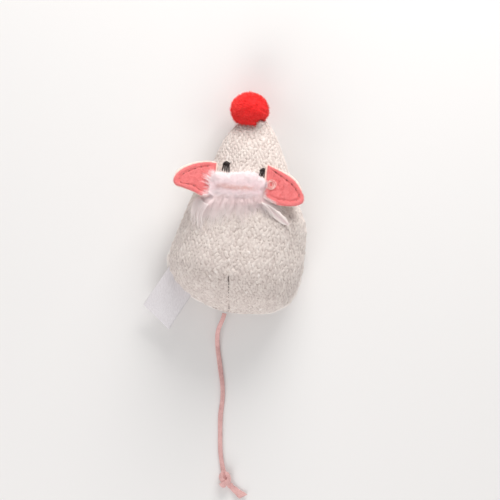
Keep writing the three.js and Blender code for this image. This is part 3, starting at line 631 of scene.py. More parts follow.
def cloth_panel(name, rows, columns, upper):
    """One panel as a closed shell: the nubbly outer face, and a plain inner face on a coarser grid."""
    along, across, shape, height, tone = outer_cloth(rows, columns, upper)
    coarse = (slice(None, None, inner_step), slice(None, None, inner_step))
    inner = skin(along[coarse], across[coarse], cloth_thickness, upper).reshape(-1, 3)
    inner_grid = rows // inner_step + 1, columns // inner_step + 1
    first = height.size
    faces = [*grid_faces(rows + 1, columns + 1), *grid_faces(*inner_grid, first=first)[:, ::-1]]
    outer_border, inner_border = border_of(rows + 1, columns + 1), border_of(*inner_grid, first)
    half = inner_step // 2
    for k, inner_here in enumerate(inner_border):
        inner_next = inner_border[(k + 1) % len(inner_border)]
        outer = [outer_border[(k * inner_step + s) % len(outer_border)] for s in range(inner_step + 1)]
        faces += [(outer[s + 1], outer[s], inner_here) for s in range(half)]
        faces.append((inner_next, outer[half], inner_here))
        faces += [(outer[s + 1], outer[s], inner_next) for s in range(half, inner_step)]
    if not upper:
        faces = [f[::-1] for f in faces]
    panel = mesh_piece(name, np.concatenate([shape.reshape(-1, 3), inner]), faces)
    for label, values in (("nub", height), ("tone", tone)):
        mark(panel.data, label, np.concatenate([values.ravel(), np.zeros(len(inner))]))
    close_poles(panel)
    return panel


back_cloth = cloth_panel("back_cloth", 384, 306, True)
belly_cloth = cloth_panel("belly_cloth", 312, 240, False)


def marked(tree, label):
    """What mark, or a tree, has written for each point under a name."""
    return add_node(tree, "ShaderNodeAttribute", attribute_name=label).outputs["Fac"]


def woven_material(name, lip_highlight, light, mid, gap):
    """Boucle yarn: pale on the nubs, each in its own tone, with painted shade down between them and a painted
    highlight on the belly's lip.
    """
    material, tree, shader = new_material(name, 0.96, Sheen_Weight=0.30, Sheen_Roughness=0.6)
    grain = add_node(tree, "ShaderNodeGroup", node_tree=grain_group)
    grain.inputs["Size"].default_value = 0.00016
    grain.inputs["Patch Size"].default_value = 0.0026
    nub, tone = marked(tree, "nub"), marked(tree, "tone")
    yarn = mix_colours(tree, ramp(tree, tone, -0.8, 0.7), linear(*mid), linear(*light))
    # Above a tone of 1 the yarn turns to the painted highlight of the belly's lip.
    yarn = mix_colours(tree, ramp(tree, tone, 1.0, 2.2), yarn, linear(*lip_highlight))
    tree.links.new(yarn, grain.inputs["Colour"])
    darker = mix_colours(tree, 0.55, linear(*mid), yarn)
    tree.links.new(darker, grain.inputs["Deep Colour"])
    # The gap colour is painted shade, laid down between the nubs where their relief is low.
    shown = mix_colours(tree, ramp(tree, nub, 0.05, 0.60), linear(*gap), grain.outputs["Colour"])
    tree.links.new(shown, shader.inputs["Base Color"])
    add_relief(tree, shader, grain.outputs["Height"], 0.00012)
    return material


# The last colour is painted shade between the nubs; the first is a painted highlight on the belly's lip.
weave = woven_material("basket_weave", (250, 243, 239), (235, 224, 217), (214, 200, 194), (185, 169, 162))
for panel, node in ((back_cloth, "back_panel"), (belly_cloth, "belly_panel")):
    panel.data.materials.append(weave)
    stand_in(panel, "stuffed_body", node)


# What fills the body: loose white polyester fibre, a pocket of dried catnip in it, and the string that the
# ruff's down is spun on. They stay as the solids are, inside, with finishes of their own.
fibre_fill = grained_material("polyester_fibre", (244, 243, 240), (214, 212, 208), 0.0005, 0.005, 0.0003, 1.0)
dried_leaf = grained_material("dried_leaf", (128, 136, 82), (70, 78, 44), 0.0011, 0.006, 0.0005, 1.0)
core_string = grained_material("core_string", (224, 214, 206), (180, 168, 160), 0.0003, 0.002, 0.0001, 0.9)


def finish_solid(node, material):
    piece = frame["nodes"][node]
    piece.data.materials.clear()
    piece.data.materials.append(material)


finish_solid("body_filling", fibre_fill)
finish_solid("catnip_filling", dried_leaf)
finish_solid("ruff_core_cord", core_string)
finish_solid("tail_anchor", suede)


# The threads: the machine seam round the outline, the hand-sewn stretch that closes it, the stitches of the
# dart, and those of the ears. Each is a row of single stitches that dip into the cloth at both ends.
def tree_with(name, sockets):
    """A Geometry Nodes tree with a geometry in and out, and the named inputs."""
    tree = bpy.data.node_groups.new(name, "GeometryNodeTree")
    tree.interface.new_socket("Geometry", in_out="INPUT", socket_type="NodeSocketGeometry")
    tree.interface.new_socket("Geometry", in_out="OUTPUT", socket_type="NodeSocketGeometry")
    for label, kind, value in sockets:
        socket = tree.interface.new_socket(label, in_out="INPUT", socket_type=f"NodeSocket{kind}")
        if value is not None:
            socket.default_value = value
    return tree, tree.nodes.new("NodeGroupInput").outputs


def grow(name, carrier, tree, **values):
    """Runs a tree on a carrier and keeps its result as a plain mesh piece. The carrier is removed."""
    modifier = carrier.modifiers.new("grown", "NODES")
    modifier.node_group = tree
    names = {s.name: s.identifier for s in tree.interface.items_tree if s.in_out == "INPUT"}
    for label, value in values.items():
        modifier[names[label.replace("_", " ")]] = value
    bpy.context.view_layer.update()
    graph = bpy.context.evaluated_depsgraph_get()
    mesh = bpy.data.meshes.new_from_object(carrier.evaluated_get(graph))
    mesh.name = name
    mesh.materials.clear()
    mesh.materials.append(values["Material"])
    carrier.modifiers.clear()
    bpy.data.objects.remove(carrier)
    return show(name, mesh)


def place_of(tree, x, y, z):
    return add_node(tree, "ShaderNodeCombineXYZ", {"X": x, "Y": y, "Z": z}).outputs[0]


def finished(tree, geometry, material):
    """Ends a tree: its copies are made real and get their material."""
    real = add_node(tree, "GeometryNodeRealizeInstances", {0: geometry}).outputs[0]
    done = add_node(tree, "GeometryNodeSetMaterial", {0: real, "Material": material}).outputs[0]
    add_node(tree, "NodeGroupOutput", {0: done})


stitch_tree, stitch_in = tree_with("stitches", [
    ("Spacing", "Float", 0.002), ("Length", "Float", 0.0014), ("Radius", "Float", 0.0002),
    ("Dip", "Float", 0.0004), ("Slant", "Float", 0.0), ("Material", "Material", None),
])
stitch_bow_power = 2.4
stitch_points = add_node(stitch_tree, "GeometryNodeCurveToPoints", {
    "Curve": stitch_in["Geometry"], "Length": stitch_in["Spacing"]}, mode="LENGTH")
stitch_arc = add_node(stitch_tree, "GeometryNodeCurvePrimitiveLine", {
    "Start": (0, 0, -0.5), "End": (0, 0, 0.5)}).outputs[0]
stitch_arc = add_node(stitch_tree, "GeometryNodeResampleCurve", {"Curve": stitch_arc, "Count": 9}).outputs[0]
stitch_share = add_node(stitch_tree, "GeometryNodeSplineParameter").outputs["Factor"]
stitch_from = number(stitch_tree, "SUBTRACT", stitch_share, 0.5)
stitch_end = number(stitch_tree, "ABSOLUTE", number(stitch_tree, "MULTIPLY", stitch_from, 2.0))
stitch_bow = number(stitch_tree, "POWER", stitch_end, stitch_bow_power)
stitch_dip = number(stitch_tree, "MULTIPLY", stitch_bow, stitch_in["Dip"])
stitch_place = place_of(stitch_tree, number(stitch_tree, "MULTIPLY", stitch_dip, -1.0),
                        number(stitch_tree, "MULTIPLY", stitch_from, stitch_in["Slant"]),
                        number(stitch_tree, "MULTIPLY", stitch_from, stitch_in["Length"]))
stitch_arc = add_node(stitch_tree, "GeometryNodeSetPosition", {
    "Geometry": stitch_arc, "Position": stitch_place}).outputs[0]
stitch_round = add_node(stitch_tree, "GeometryNodeCurvePrimitiveCircle", {
    "Resolution": 8, "Radius": stitch_in["Radius"]}).outputs[0]
stitch_thread = add_node(stitch_tree, "GeometryNodeCurveToMesh", {
    "Curve": stitch_arc, "Profile Curve": stitch_round, "Fill Caps": True}).outputs[0]
stitch_all = add_node(stitch_tree, "GeometryNodeInstanceOnPoints", {
    "Points": stitch_points.outputs["Points"], "Instance": stitch_thread,
    "Rotation": stitch_points.outputs["Rotation"]}).outputs[0]
finished(stitch_tree, stitch_all, stitch_in["Material"])


def stitch_row(name, line, outward, body, replaced, slot, **values):
    """Stitches along a line, bowed outward from the cloth, riding on a body in place of a solid."""
    track = bpy.data.curves.new(name + "_line", "CURVE")
    track.dimensions = "3D"
    track.twist_mode = "Z_UP"
    spline = track.splines.new("POLY")
    spline.points.add(len(line) - 1)
    travel = unit(np.gradient(line, axis=0))
    for point, place, way, out in zip(spline.points, line, travel, outward):
        point.co = (*place, 1)
        side = Vector((0, 0, 1)).cross(Vector(way)).normalized()
        above = Vector(way).cross(side)
        point.tilt = math.atan2(Vector(out).dot(side), Vector(out).dot(above))
    row = grow(name, show(name + "_line", track), stitch_tree, **values)
    row.data.polygons.foreach_set("use_smooth", [True] * len(row.data.polygons))
    stand_in(row, body, replaced)


thread_pale = grained_material("pale_thread", (226, 214, 206), (190, 176, 168), 0.00012, 0.002, 0.00006, 0.7)
thread_dark = grained_material("shaded_thread", (104, 90, 86), (66, 56, 54), 0.00012, 0.002, 0.00006, 0.7)
seam_inset = 0.0005
tail_room = 0.018
closing_share, closing_gap = 0.7, 0.005
dart_sewn = (-0.0222, -0.0344)
dart_sunk = -0.00030
machine_steps, closing_steps, dart_steps = 420, 90, 60
lock_points, lock_lift, lock_width, lock_thickness = 11, 0.00015, 0.00022, 0.00020


def seam_line(start, end, count):
    """The seam from one place on the outline to another: 0 is the nose, 1 the tail, down the right side."""
    around = np.linspace(start, end, count) % 2
    along = np.where(around <= 1, around, 2 - around)
    right, left = edge_at("right", along, seam_inset), edge_at("left", along, seam_inset)
    plan = np.where((around <= 1)[:, None], right, left)
    middle = (edge_at("right", along, 0.0) + edge_at("left", along, 0.0)) / 2
    outward = unit(plan - middle)
    return np.column_stack([plan, seam_at(along)]), np.column_stack([outward, 0 * along])


machine_line, machine_out = seam_line(1 + tail_room, 2 + closing_share - closing_gap, machine_steps)
stitch_row("seam_stitches", machine_line, machine_out, "stuffed_body", "side_seam_thread", "thread",
           Spacing=0.0021, Length=0.0016, Radius=0.00017, Dip=0.0004, Material=thread_pale)
closing_line, closing_out = seam_line(closing_share, 1 - tail_room, closing_steps)
stitch_row("closing_stitches", closing_line, closing_out, "stuffed_body", "closing_stitch", "thread",
           Spacing=0.0026, Length=0.0013, Radius=0.00022, Dip=0.0004, Slant=0.0006, Material=thread_pale)

dart_y = np.linspace(*dart_sewn, dart_steps)
dart_x = np.interp(-dart_y, -dart_points[:, 1], dart_points[:, 0])
dart_line = on_back(dart_x, dart_y, dart_sunk)
dart_out = unit(on_back(dart_x, dart_y, 0.001) - on_back(dart_x, dart_y, 0.0) + (0, 0, 1e-5))
stitch_row("dart_stitches", dart_line, dart_out, "stuffed_body", "rump_dart_thread", "dark_thread",
           Spacing=0.00150, Length=0.00066, Radius=0.00010, Dip=0.0003, Material=thread_dark)
lock_out = dart_out[:lock_points]
lock_line = dart_line[:lock_points] + lock_out * lock_lift
lock_stitch = flat_lace("dart_lock_stitch", lock_line, lock_out, lock_width, lock_thickness)
lock_stitch.data.materials.append(thread_dark)
stand_in(lock_stitch, "stuffed_body", "rump_dart_thread")


# The strands of down, barbs, fuzz and cut pile: thin fibres that grow from a surface. The surface says which
# way each flows, how long it is and how thick they stand. They bow, wave, and can lie down on the cloth.
strand_tree, strand_in = tree_with("strands", [
    ("Density", "Float", 1e6), ("Seed", "Int", 1), ("Length", "Float", 0.003), ("Uneven", "Float", 0.2),
    ("Radius", "Float", 0.00006), ("Point", "Float", 0.3), ("Stray", "Float", 0.2), ("Arch", "Float", 0.0),
    ("Wave", "Float", 0.0003), ("Wave Size", "Float", 0.003), ("Steps", "Int", 6), ("Hug", "Float", 0.0),
    ("Lift", "Float", 0.0004), ("Ground", "Object", None), ("Material", "Material", None),
])
strand_sides = 3
thinning_power = 1.5
arch_scale = 4.0
wave_offset = (0.0013, 0.0007, 0.0011)
search_height, search_depth = 0.05, 0.1
least_lift = 0.4


def maths(operation, first, second=0.0):
    """A number worked out in the strands' tree."""
    return number(strand_tree, operation, first, second)


def times(first, second):
    return maths("MULTIPLY", first, second)


def strand_node(kind, inputs=None, **settings):
    """Adds a node to the strands' tree and gives its first output."""
    return add_node(strand_tree, kind, inputs, **settings).outputs[0]


def ways(operation, first, *second):
    """A place or direction worked out in the strands' tree."""
    return strand_node("ShaderNodeVectorMath", dict(enumerate((first, *second))), operation=operation)


def scaled(way, share):
    return strand_node("ShaderNodeVectorMath", {0: way, "Scale": share}, operation="SCALE")


def stored(geometry, kind, label, value):
    inputs = {"Geometry": geometry, "Name": label, "Value": value}
    return strand_node("GeometryNodeStoreNamedAttribute", inputs, data_type=kind, domain="POINT")


def share_named(label):
    return strand_node("GeometryNodeInputNamedAttribute", {"Name": label}, data_type="FLOAT")


def way_named(label):
    return strand_node("GeometryNodeInputNamedAttribute", {"Name": label}, data_type="FLOAT_VECTOR")


def any_share(seed_shift):
    """A chance number from 0 to 1 for each root."""
    sockets = {2: 0.0, 3: 1.0, "Seed": maths("ADD", strand_in["Seed"], seed_shift)}
    return add_node(strand_tree, "FunctionNodeRandomValue", sockets, data_type="FLOAT").outputs[1]


def any_way(seed_shift):
    """A chance direction for each root."""
    sockets = {0: (-1, -1, -1), 1: (1, 1, 1), "Seed": maths("ADD", strand_in["Seed"], seed_shift)}
    return strand_node("FunctionNodeRandomValue", sockets, data_type="FLOAT_VECTOR")


# Each root gets its strand's span from root to tip, and what else its points need
strand_roots = add_node(strand_tree, "GeometryNodeDistributePointsOnFaces", {
    "Mesh": strand_in["Geometry"], "Density": times(strand_in["Density"], share_named("amount")),
    "Seed": strand_in["Seed"]}, distribute_method="RANDOM").outputs
strand_way = ways("NORMALIZE", ways("ADD", way_named("flow"), scaled(any_way(1.0), strand_in["Stray"])))
strand_uneven = maths("SUBTRACT", 1.0, times(any_share(2.0), strand_in["Uneven"]))
strand_long = times(times(share_named("reach"), strand_in["Length"]), strand_uneven)
rooted = stored(strand_roots["Points"], "FLOAT_VECTOR", "span", scaled(strand_way, strand_long))
rooted = stored(rooted, "FLOAT_VECTOR", "root", strand_node("GeometryNodeInputPosition"))
rooted = stored(rooted, "FLOAT_VECTOR", "upward", strand_roots["Normal"])
rooted = stored(rooted, "FLOAT", "shade", any_share(3.0))
rooted = stored(rooted, "FLOAT_VECTOR", "curl", scaled(way_named("bend"), strand_long))
strand_line = strand_node("GeometryNodeCurvePrimitiveLine", {"Start": (0, 0, 0), "End": (0, 0, 1)})
strand_line = strand_node("GeometryNodeResampleCurve", {"Curve": strand_line, "Count": strand_in["Steps"]})
strands = strand_node("GeometryNodeInstanceOnPoints", {"Points": rooted, "Instance": strand_line})
strands = strand_node("GeometryNodeRealizeInstances", {0: strands})
strand_share = add_node(strand_tree, "GeometryNodeSplineParameter").outputs["Factor"]
strands = stored(strands, "FLOAT", "tip", strand_share)

# Its points: along the span, curled, arched and waved
free_end = ways("ADD", scaled(way_named("span"), strand_share),
                scaled(way_named("curl"), times(strand_share, strand_share)))
bowed = times(strand_share, maths("SUBTRACT", 1.0, strand_share))
bowed = times(bowed, times(strand_in["Arch"], arch_scale))
free_place = ways("ADD", way_named("root"), ways("ADD", free_end, scaled(way_named("upward"), bowed)))
wave = add_node(strand_tree, "ShaderNodeTexNoise", {
    "Vector": ways("ADD", free_place, scaled(wave_offset, share_named("shade"))),
    "Scale": maths("DIVIDE", 1.0, strand_in["Wave Size"]), "Detail": 1.0}).outputs["Color"]
wave = scaled(ways("SUBTRACT", wave, (0.5, 0.5, 0.5)), times(strand_in["Wave"], strand_share))
free_place = ways("ADD", free_place, wave)

# With Hug above 0 a strand sinks toward the ground, and stays above it
ground = add_node(strand_tree, "GeometryNodeObjectInfo", {"Object": strand_in["Ground"]}).outputs["Geometry"]
below = add_node(strand_tree, "GeometryNodeRaycast", {
    "Target Geometry": ground, "Source Position": ways("ADD", free_place, (0.0, 0.0, search_height)),
    "Ray Direction": (0.0, 0.0, -1.0), "Ray Length": search_depth}).outputs
free_xyz = add_node(strand_tree, "ShaderNodeSeparateXYZ", {0: free_place}).outputs
low_xyz = add_node(strand_tree, "ShaderNodeSeparateXYZ", {0: below["Hit Position"]}).outputs
strand_lift = times(strand_in["Lift"], maths("ADD", least_lift, share_named("shade")))
ground_height = maths("ADD", low_xyz["Z"], strand_lift)
hugging = times(times(strand_in["Hug"], below["Is Hit"]), strand_share)
sunk = maths("ADD", free_xyz["Z"], times(maths("SUBTRACT", ground_height, free_xyz["Z"]), hugging))
sunk = maths("MAXIMUM", sunk, times(ground_height, below["Is Hit"]))
can_hug = maths("CEIL", strand_in["Hug"])
strand_height = maths("ADD", times(sunk, can_hug), times(free_xyz["Z"], maths("SUBTRACT", 1.0, can_hug)))
strand_place = place_of(strand_tree, free_xyz["X"], free_xyz["Y"], strand_height)
strands = strand_node("GeometryNodeSetPosition", {"Geometry": strands, "Position": strand_place})
thinning = maths("SUBTRACT", 1.0, times(
    maths("SUBTRACT", 1.0, strand_in["Point"]), maths("POWER", strand_share, thinning_power)))
strand_round = strand_node("GeometryNodeCurvePrimitiveCircle", {
    "Resolution": strand_sides, "Radius": strand_in["Radius"]})
strands = strand_node("GeometryNodeCurveToMesh", {
    "Curve": strands, "Profile Curve": strand_round, "Scale": thinning, "Fill Caps": True})
for label in ("span", "root", "upward", "flow", "bend", "curl", "reach", "amount"):
    strands = strand_node("GeometryNodeRemoveAttribute", {"Geometry": strands, "Name": label})
strands = strand_node("GeometryNodeSetShadeSmooth", {0: strands, "Shade Smooth": False})
finished(strand_tree, strands, strand_in["Material"])


def strand_bed(name, points, faces, flow, reach=1.0, amount=1.0, bend=(0.0, 0.0, 0.0)):
    """The surface that strands grow from, with their flow, reach, amount and bend at each point."""
    bed = mesh_piece(name, points, faces)
    mark(bed.data, "flow", flow, "FLOAT_VECTOR")
    mark(bed.data, "bend", bend, "FLOAT_VECTOR")
    mark(bed.data, "reach", reach)
    mark(bed.data, "amount", amount)
    return bed


def strand_material(name, root, tip, dark, roughness=0.85, **plain):
    """Fibres: one colour at the root and one at the tip, each strand a little lighter or darker."""
    material, tree, shader = new_material(name, roughness, **plain)
    colour = mix_colours(tree, ramp(tree, marked(tree, "tip"), 0.1, 0.95), linear(*root), linear(*tip))
    darkening = number(tree, "MULTIPLY", number(tree, "POWER", marked(tree, "shade"), 2.0), 0.6)
    tree.links.new(mix_colours(tree, darkening, colour, linear(*dark)), shader.inputs["Base Color"])
    return material


# The nose: a red pom-pom of dense cut pile, 15 mm across. The pile springs from a small heart, which is
# tied to the tip of the nose with thread, and it is shorter where the cloth is in its way.
nose_tip = np.array((0.002585, 0.041027, 0.0085))
pompom_radius = 0.0076
pompom_centre = nose_tip + pompom_radius * np.array((-0.32, 0.25, 0.4))
pompom_core = 0.0050
pompom_pile = pompom_radius - pompom_core
pile_over = 1.13
ball_squash = np.array((1.05, 0.93, 0.95))
body_front = 0.0415
cloth_room = 0.0006
least_pile = 0.62
peak_top = (nose_peak[0] + 0.0006, nose_peak[1] + 0.001, 0.0140)
peak_room = 0.0022
clump_size, clump_depth = 0.26, 0.14


def ball(rows, columns):
    """Unit directions over a sphere, and the faces between them, with closed poles."""
    tilt = np.linspace(0, math.pi, rows + 1)[1:-1]
    turn = np.linspace(0, 2 * math.pi, columns, endpoint=False)
    wide, high = np.sin(tilt)[:, None], np.cos(tilt)[:, None]
    rings = np.stack(np.broadcast_arrays(wide * np.cos(turn), wide * np.sin(turn), high), -1)
    points = np.concatenate([[(0, 0, 1)], rings.reshape(-1, 3), [(0, 0, -1)]])
    faces = [tuple(f) for f in grid_faces(len(tilt), columns, ring=True, first=1)]
    last, ring = len(points) - 1, 1 + (len(tilt) - 1) * columns
    faces += [(0, 1 + k, 1 + (k + 1) % columns) for k in range(columns)]
    faces += [(last, ring + (k + 1) % columns, ring + k) for k in range(columns)]
    return points, faces


def in_body(points, grow_by):
    """Which points lie inside the stuffed body, with the body grown by a little."""
    back = on_back(points[:, 0], points[:, 1])
    near = np.hypot(back[:, 0] - points[:, 0], back[:, 1] - points[:, 1]) < grow_by
    return near & (points[:, 2] < back[:, 2] + grow_by) & (points[:, 1] < body_front)


ball_ways, ball_faces = ball(56, 88)
pile_reach = np.ones(len(ball_ways))
for share in np.linspace(1.0, least_pile, 12):
    blocked = in_body(pompom_centre + ball_ways * ball_squash * pompom_radius * share, cloth_room)
    pile_reach = np.where(blocked, (pompom_radius * share - pompom_core) / pompom_pile, pile_reach)
to_peak = np.linalg.norm(pompom_centre + ball_ways * pompom_radius * 0.92 - peak_top, axis=1)
pile_reach = np.minimum(pile_reach, np.clip(to_peak / peak_room, 0.1, 1))
way_x, way_y, way_z = ball_ways.T
clumps = 0.5 + 0.5 * mottle(way_x * 1.2 + way_z, way_y * 3 - way_z, clump_size, 51)
pile_bed = strand_bed("pile_bed", pompom_centre + ball_ways * ball_squash * pompom_core, ball_faces,
                      ball_ways, np.maximum(pile_reach, 0.05) * (0.86 + clump_depth * clumps),
                      (pile_reach > 0.12).astype(float))
# The pile is darker at its roots than at its tips: painted shade down in the pile.
red_pile = strand_material("red_pile", (244, 38, 40), (255, 94, 86), (224, 28, 32), 0.85,
                           Sheen_Weight=0.06, Sheen_Roughness=0.5)
pompom = grow("pompom_pile", pile_bed, strand_tree, Density=2.9e7, Seed=5, Length=pompom_pile * pile_over,
              Uneven=0.38, Radius=0.00010, Point=0.3, Stray=0.36, Arch=0.0, Wave=0.0012, Wave_Size=0.0016,
              Steps=4, Material=red_pile)
red_heart = grained_material("red_heart", (255, 56, 56), (236, 34, 38), 0.0004, 0.0012, 0.0004, 1.0)
heart_radius = pompom_core + pompom_pile * (0.60 + 0.24 * clumps) * np.clip(pile_reach * 2.2 - 1.2, -0.4, 1)
heart_points = pompom_centre + ball_ways * ball_squash * heart_radius[:, None]
heart = mesh_piece("pompom_heart", heart_points, ball_faces)
heart.data.materials.append(red_heart)
for piece in (pompom, heart):
    stand_in(piece, "nose", "nose_pompom")
finish_solid("pompom_tie", thread_pale)


# The eyes: black satin thread, sewn straight through the cloth. The stitches lie close together at the top
# and spread like little legs below.
eyes = {
    "left_eye": {"x": -0.0057, "y": 0.0200, "width": 0.0027, "height": 0.0039, "lean": -0.0002, "seed": 61},
    "right_eye": {"x": 0.0083, "y": 0.0195, "width": 0.0021, "height": 0.0034, "lean": -0.0004, "seed": 62},
}
eye_legs = 4
eye_cover = 6
eye_radius = 0.00020
eye_sunk, eye_bow, cover_bow, eye_uneven = -0.00025, 0.00062, 0.00034, 0.0001
eye_facing = (0.0, 0.25, 1.0)
eye_narrowing, cover_narrowing = 0.62, 0.86
top_wander, low_wander = 0.00006, 0.00012
eye_top, eye_top_drop, cover_low, leg_low = 0.5, 0.55, 0.06, -0.54
eye_steps = 15
cover_width, leg_width, eye_thickness = 2.1, 2.7, 1.8
eye_material, eye_tree, eye_shader = new_material("black_satin_thread", 0.55, Specular_IOR_Level=0.3)


def streaks(tree, scale, turn=0.0):
    """Noise drawn out into fine streaks, which a smooth thread and a satin show as painted sheen; it also
    gives their relief.
    """
    place = add_node(tree, "ShaderNodeTexCoord").outputs["Object"]
    drawn = {"Vector": place, "Rotation": (0, 0, turn), "Scale": scale}
    drawn = add_node(tree, "ShaderNodeMapping", drawn).outputs[0]
    return add_node(tree, "ShaderNodeTexNoise", {"Vector": drawn, "Scale": 1.0}).outputs["Fac"]


eye_noise = streaks(eye_tree, (9000, 900, 9000))
# The lighter grey streaks on the black thread are painted sheen.
eye_tree.links.new(mix_colours(eye_tree, eye_noise, linear(16, 11, 11), linear(62, 48, 46)),
                   eye_shader.inputs["Base Color"])
add_relief(eye_tree, eye_shader, eye_noise, 0.00005)


def joined(name, pieces):
    """One mesh piece from several, which are removed."""
    points, faces = [], []
    for piece in pieces:
        first = len(points)
        points += [tuple(v.co) for v in piece.data.vertices]
        faces += [tuple(first + k for k in f.vertices) for f in piece.data.polygons]
        bpy.data.objects.remove(piece)
    return mesh_piece(name, points, faces)


for name, eye in eyes.items():
    rng = np.random.default_rng(eye["seed"])
    threads = []
    for k in range(eye_legs + eye_cover):
        cover = k >= eye_legs
        share = (k - eye_legs) / (eye_cover - 1) if cover else k / (eye_legs - 1)
        side = (share - 0.5) * eye["width"]
        top_x = eye["x"] + side * eye_narrowing + rng.uniform(-1, 1) * top_wander
        low_x = eye["x"] + side * (cover_narrowing if cover else 1.0) + eye["lean"]
        low_x = low_x + rng.uniform(-1, 1) * low_wander
        top_y = eye["y"] + eye["height"] * (eye_top - eye_top_drop * abs(share - 0.5) ** 2)
        low_y = eye["y"] + eye["height"] * ((cover_low if cover else leg_low) + rng.uniform(-0.08, 0.05))
        t = np.linspace(0, 1, eye_steps)
        bow = np.sqrt(np.maximum(0, 1 - (2 * t - 1) ** 2))
        lift = eye_sunk + (eye_bow + cover_bow * cover + eye_uneven * rng.uniform()) * bow
        line = on_back(low_x + (top_x - low_x) * t, low_y + (top_y - low_y) * t, lift)
        wide = (cover_width if cover else leg_width) * eye_radius
        threads.append(flat_lace(f"eye_thread_{k}", line, eye_facing, wide, eye_thickness * eye_radius))
    eye = joined(name.replace("_eye", "_eye_stitches"), threads)
    eye.data.materials.append(eye_material)
    stand_in(eye, "stuffed_body", name)


# The ears: a leaf of coral felt and one of pale cream cloth, sewn together 2 mm in from the edge and sewn
# down along the straight base. The cream shows past the felt as a thin rim. The leaves are a little cupped.
ear_length = 0.0154
ear_base = 0.0142
felt_thickness = 0.0009
leaf_gap = 0.0003
cream_rim = 0.00125
base_rim = 0.0005
stitch_inset = 0.002
leaf_shares = {
    "left_ear": np.array([
        (0, 0.5), (0.20, 0.485), (0.455, 0.41), (0.69, 0.275), (0.875, 0.085), (0.965, -0.10),
        (0.975, -0.265), (0.91, -0.36), (0.75, -0.40), (0.54, -0.445), (0.41, -0.49), (0.26, -0.555),
        (0.12, -0.575), (0, -0.5),
    ]),
    "right_ear": np.array([
        (0, 0.5), (0.215, 0.43), (0.41, 0.365), (0.61, 0.268), (0.77, 0.138), (0.92, -0.075),
        (0.99, -0.245), (0.995, -0.365), (0.925, -0.475), (0.74, -0.56), (0.50, -0.605), (0.31, -0.605),
        (0.12, -0.555), (0, -0.5),
    ]),
}
leaf_middle = np.array((0.42, -0.08))
leaf_rings = 34
leaf_steps = 18
base_steps = 40
# Which side each ear is on, and how many degrees it droops and turns forward
ear_slopes = {"left_ear": (-1, 8, 4), "right_ear": (1, 17, 0)}
base_ease = 0.0014
cup_depth, cup_sides = 0.0011, 0.0016
leaf_groove, leaf_groove_width = 0.00030, 0.00038
groove_start, groove_ease, rim_ease = 0.001, 0.002, 0.003
rim_swell, rim_place, rim_width = 0.00018, 0.0009, 0.0006
wide_lumps, small_lumps = (0.00022, 0.0036), (0.00007, 0.0009)
felt_middle_edge = 0.006
thread_inset, thread_lift = 1.08, 0.00010
edge_round = 0.00035
edge_stitch_ends = 12
ring_power, edge_share = 0.8, 0.88

coral_felt = grained_material("coral_felt", (238, 137, 137), (226, 117, 119), 0.00020, 0.0022, 0.00022, 0.95,
                              Sheen_Weight=0.12, Sheen_Roughness=0.5)
cream_cloth = grained_material("cream_cloth", (249, 228, 217), (228, 200, 188), 0.00025, 0.003, 0.0001, 0.9)
coral_fuzz = strand_material("coral_fuzz", (246, 142, 140), (252, 190, 186), (242, 134, 133), 0.9)
coral_thread = grained_material("coral_thread", (150, 66, 70), (104, 42, 46), 0.00012, 0.002, 0.00006, 0.7)


def leaf_outline(ear, side, spread):
    """The leaf's edge from the front of the base round to the front again, grown forward by spread."""
    size = np.array((ear_length, ear_base))
    arc = curve_through(leaf_shares[ear] * size, leaf_steps)
    base = np.linspace(arc[-1], arc[0], base_steps + 1)[1:-1]
    ring = np.concatenate([arc, base])
    way = unit(ring - leaf_middle * size)
    free = np.clip(ring[:, 0] / base_ease, 0, 1) * np.clip(way[:, 1] * 1.6 + 0.45, -0.40, 1)
    ring = ring + way * spread * free[:, None]
    ring[:, 0] -= base_rim * (spread > 0) * np.clip(1 - ring[:, 0] / base_ease, 0, 1)
    return ring * (1, side)


def leaf_height(x, y, side, from_edge):
    """How far the leaf bends out of its plane."""
    out = np.clip(x / ear_length, 0, 1)
    tall = y * side / ear_base
    cup = cup_depth * out**2 + cup_sides * out * (tall + 0.15) ** 2
    groove = -leaf_groove * hill(from_edge, leaf_groove_width, stitch_inset)
    groove = groove * np.clip((x - groove_start) / groove_ease, 0, 1)
    rim = rim_swell * hill(from_edge, rim_width, rim_place) * np.clip(x / rim_ease, 0, 1)
    height = cup + groove + rim
    for (lump_height, lump_size), seed in ((wide_lumps, 71), (small_lumps, 72)):
        height = height + lump_height * mottle(x, y + 0.1, lump_size, seed)
    return height


def leaf(name, ear, side, frame_matrix, low, high, spread):
    """One closed leaf between two heights of the ear's own frame."""
    edge = leaf_outline(ear, side, spread)
    middle = leaf_middle * (ear_length, ear_base) * (1, side)
    share = (np.arange(1, leaf_rings + 1) / leaf_rings) ** ring_power
    flat = middle + (edge - middle)[None] * share[:, None, None]
    from_edge = np.linalg.norm(edge - middle, axis=-1)[None] * (1 - share[:, None]) * edge_share
    round_off = 0.35 * felt_thickness * np.clip(1 - from_edge / edge_round, 0, 1) ** 2
    bend = leaf_height(flat[..., 0], flat[..., 1], side, from_edge)
    middle_bend = leaf_height(middle[0], middle[1], side, felt_middle_edge)
    columns = len(edge)
    top = np.concatenate([flat, (bend + high - round_off)[..., None]], -1).reshape(-1, 3)
    under = np.concatenate([flat, (bend + low + round_off)[..., None]], -1).reshape(-1, 3)
    points = np.concatenate([top, under, [(*middle, middle_bend + high)], [(*middle, middle_bend + low)]])
    second = len(top)
    faces = [tuple(f) for f in grid_faces(leaf_rings, columns, ring=True)]
    faces += [tuple(f[::-1]) for f in grid_faces(leaf_rings, columns, ring=True, first=second)]
    last = (leaf_rings - 1) * columns
    for k in range(columns):
        after = (k + 1) % columns
        faces.append((last + k, second + last + k, second + last + after, last + after))
        faces.append((2 * second, k, after))
        faces.append((2 * second + 1, second + after, second + k))
    if side > 0:
        faces = [f[::-1] for f in faces]
    world = points @ np.array(frame_matrix.to_3x3()).T + np.array(frame_matrix.translation)
    return mesh_piece(name, world, faces)


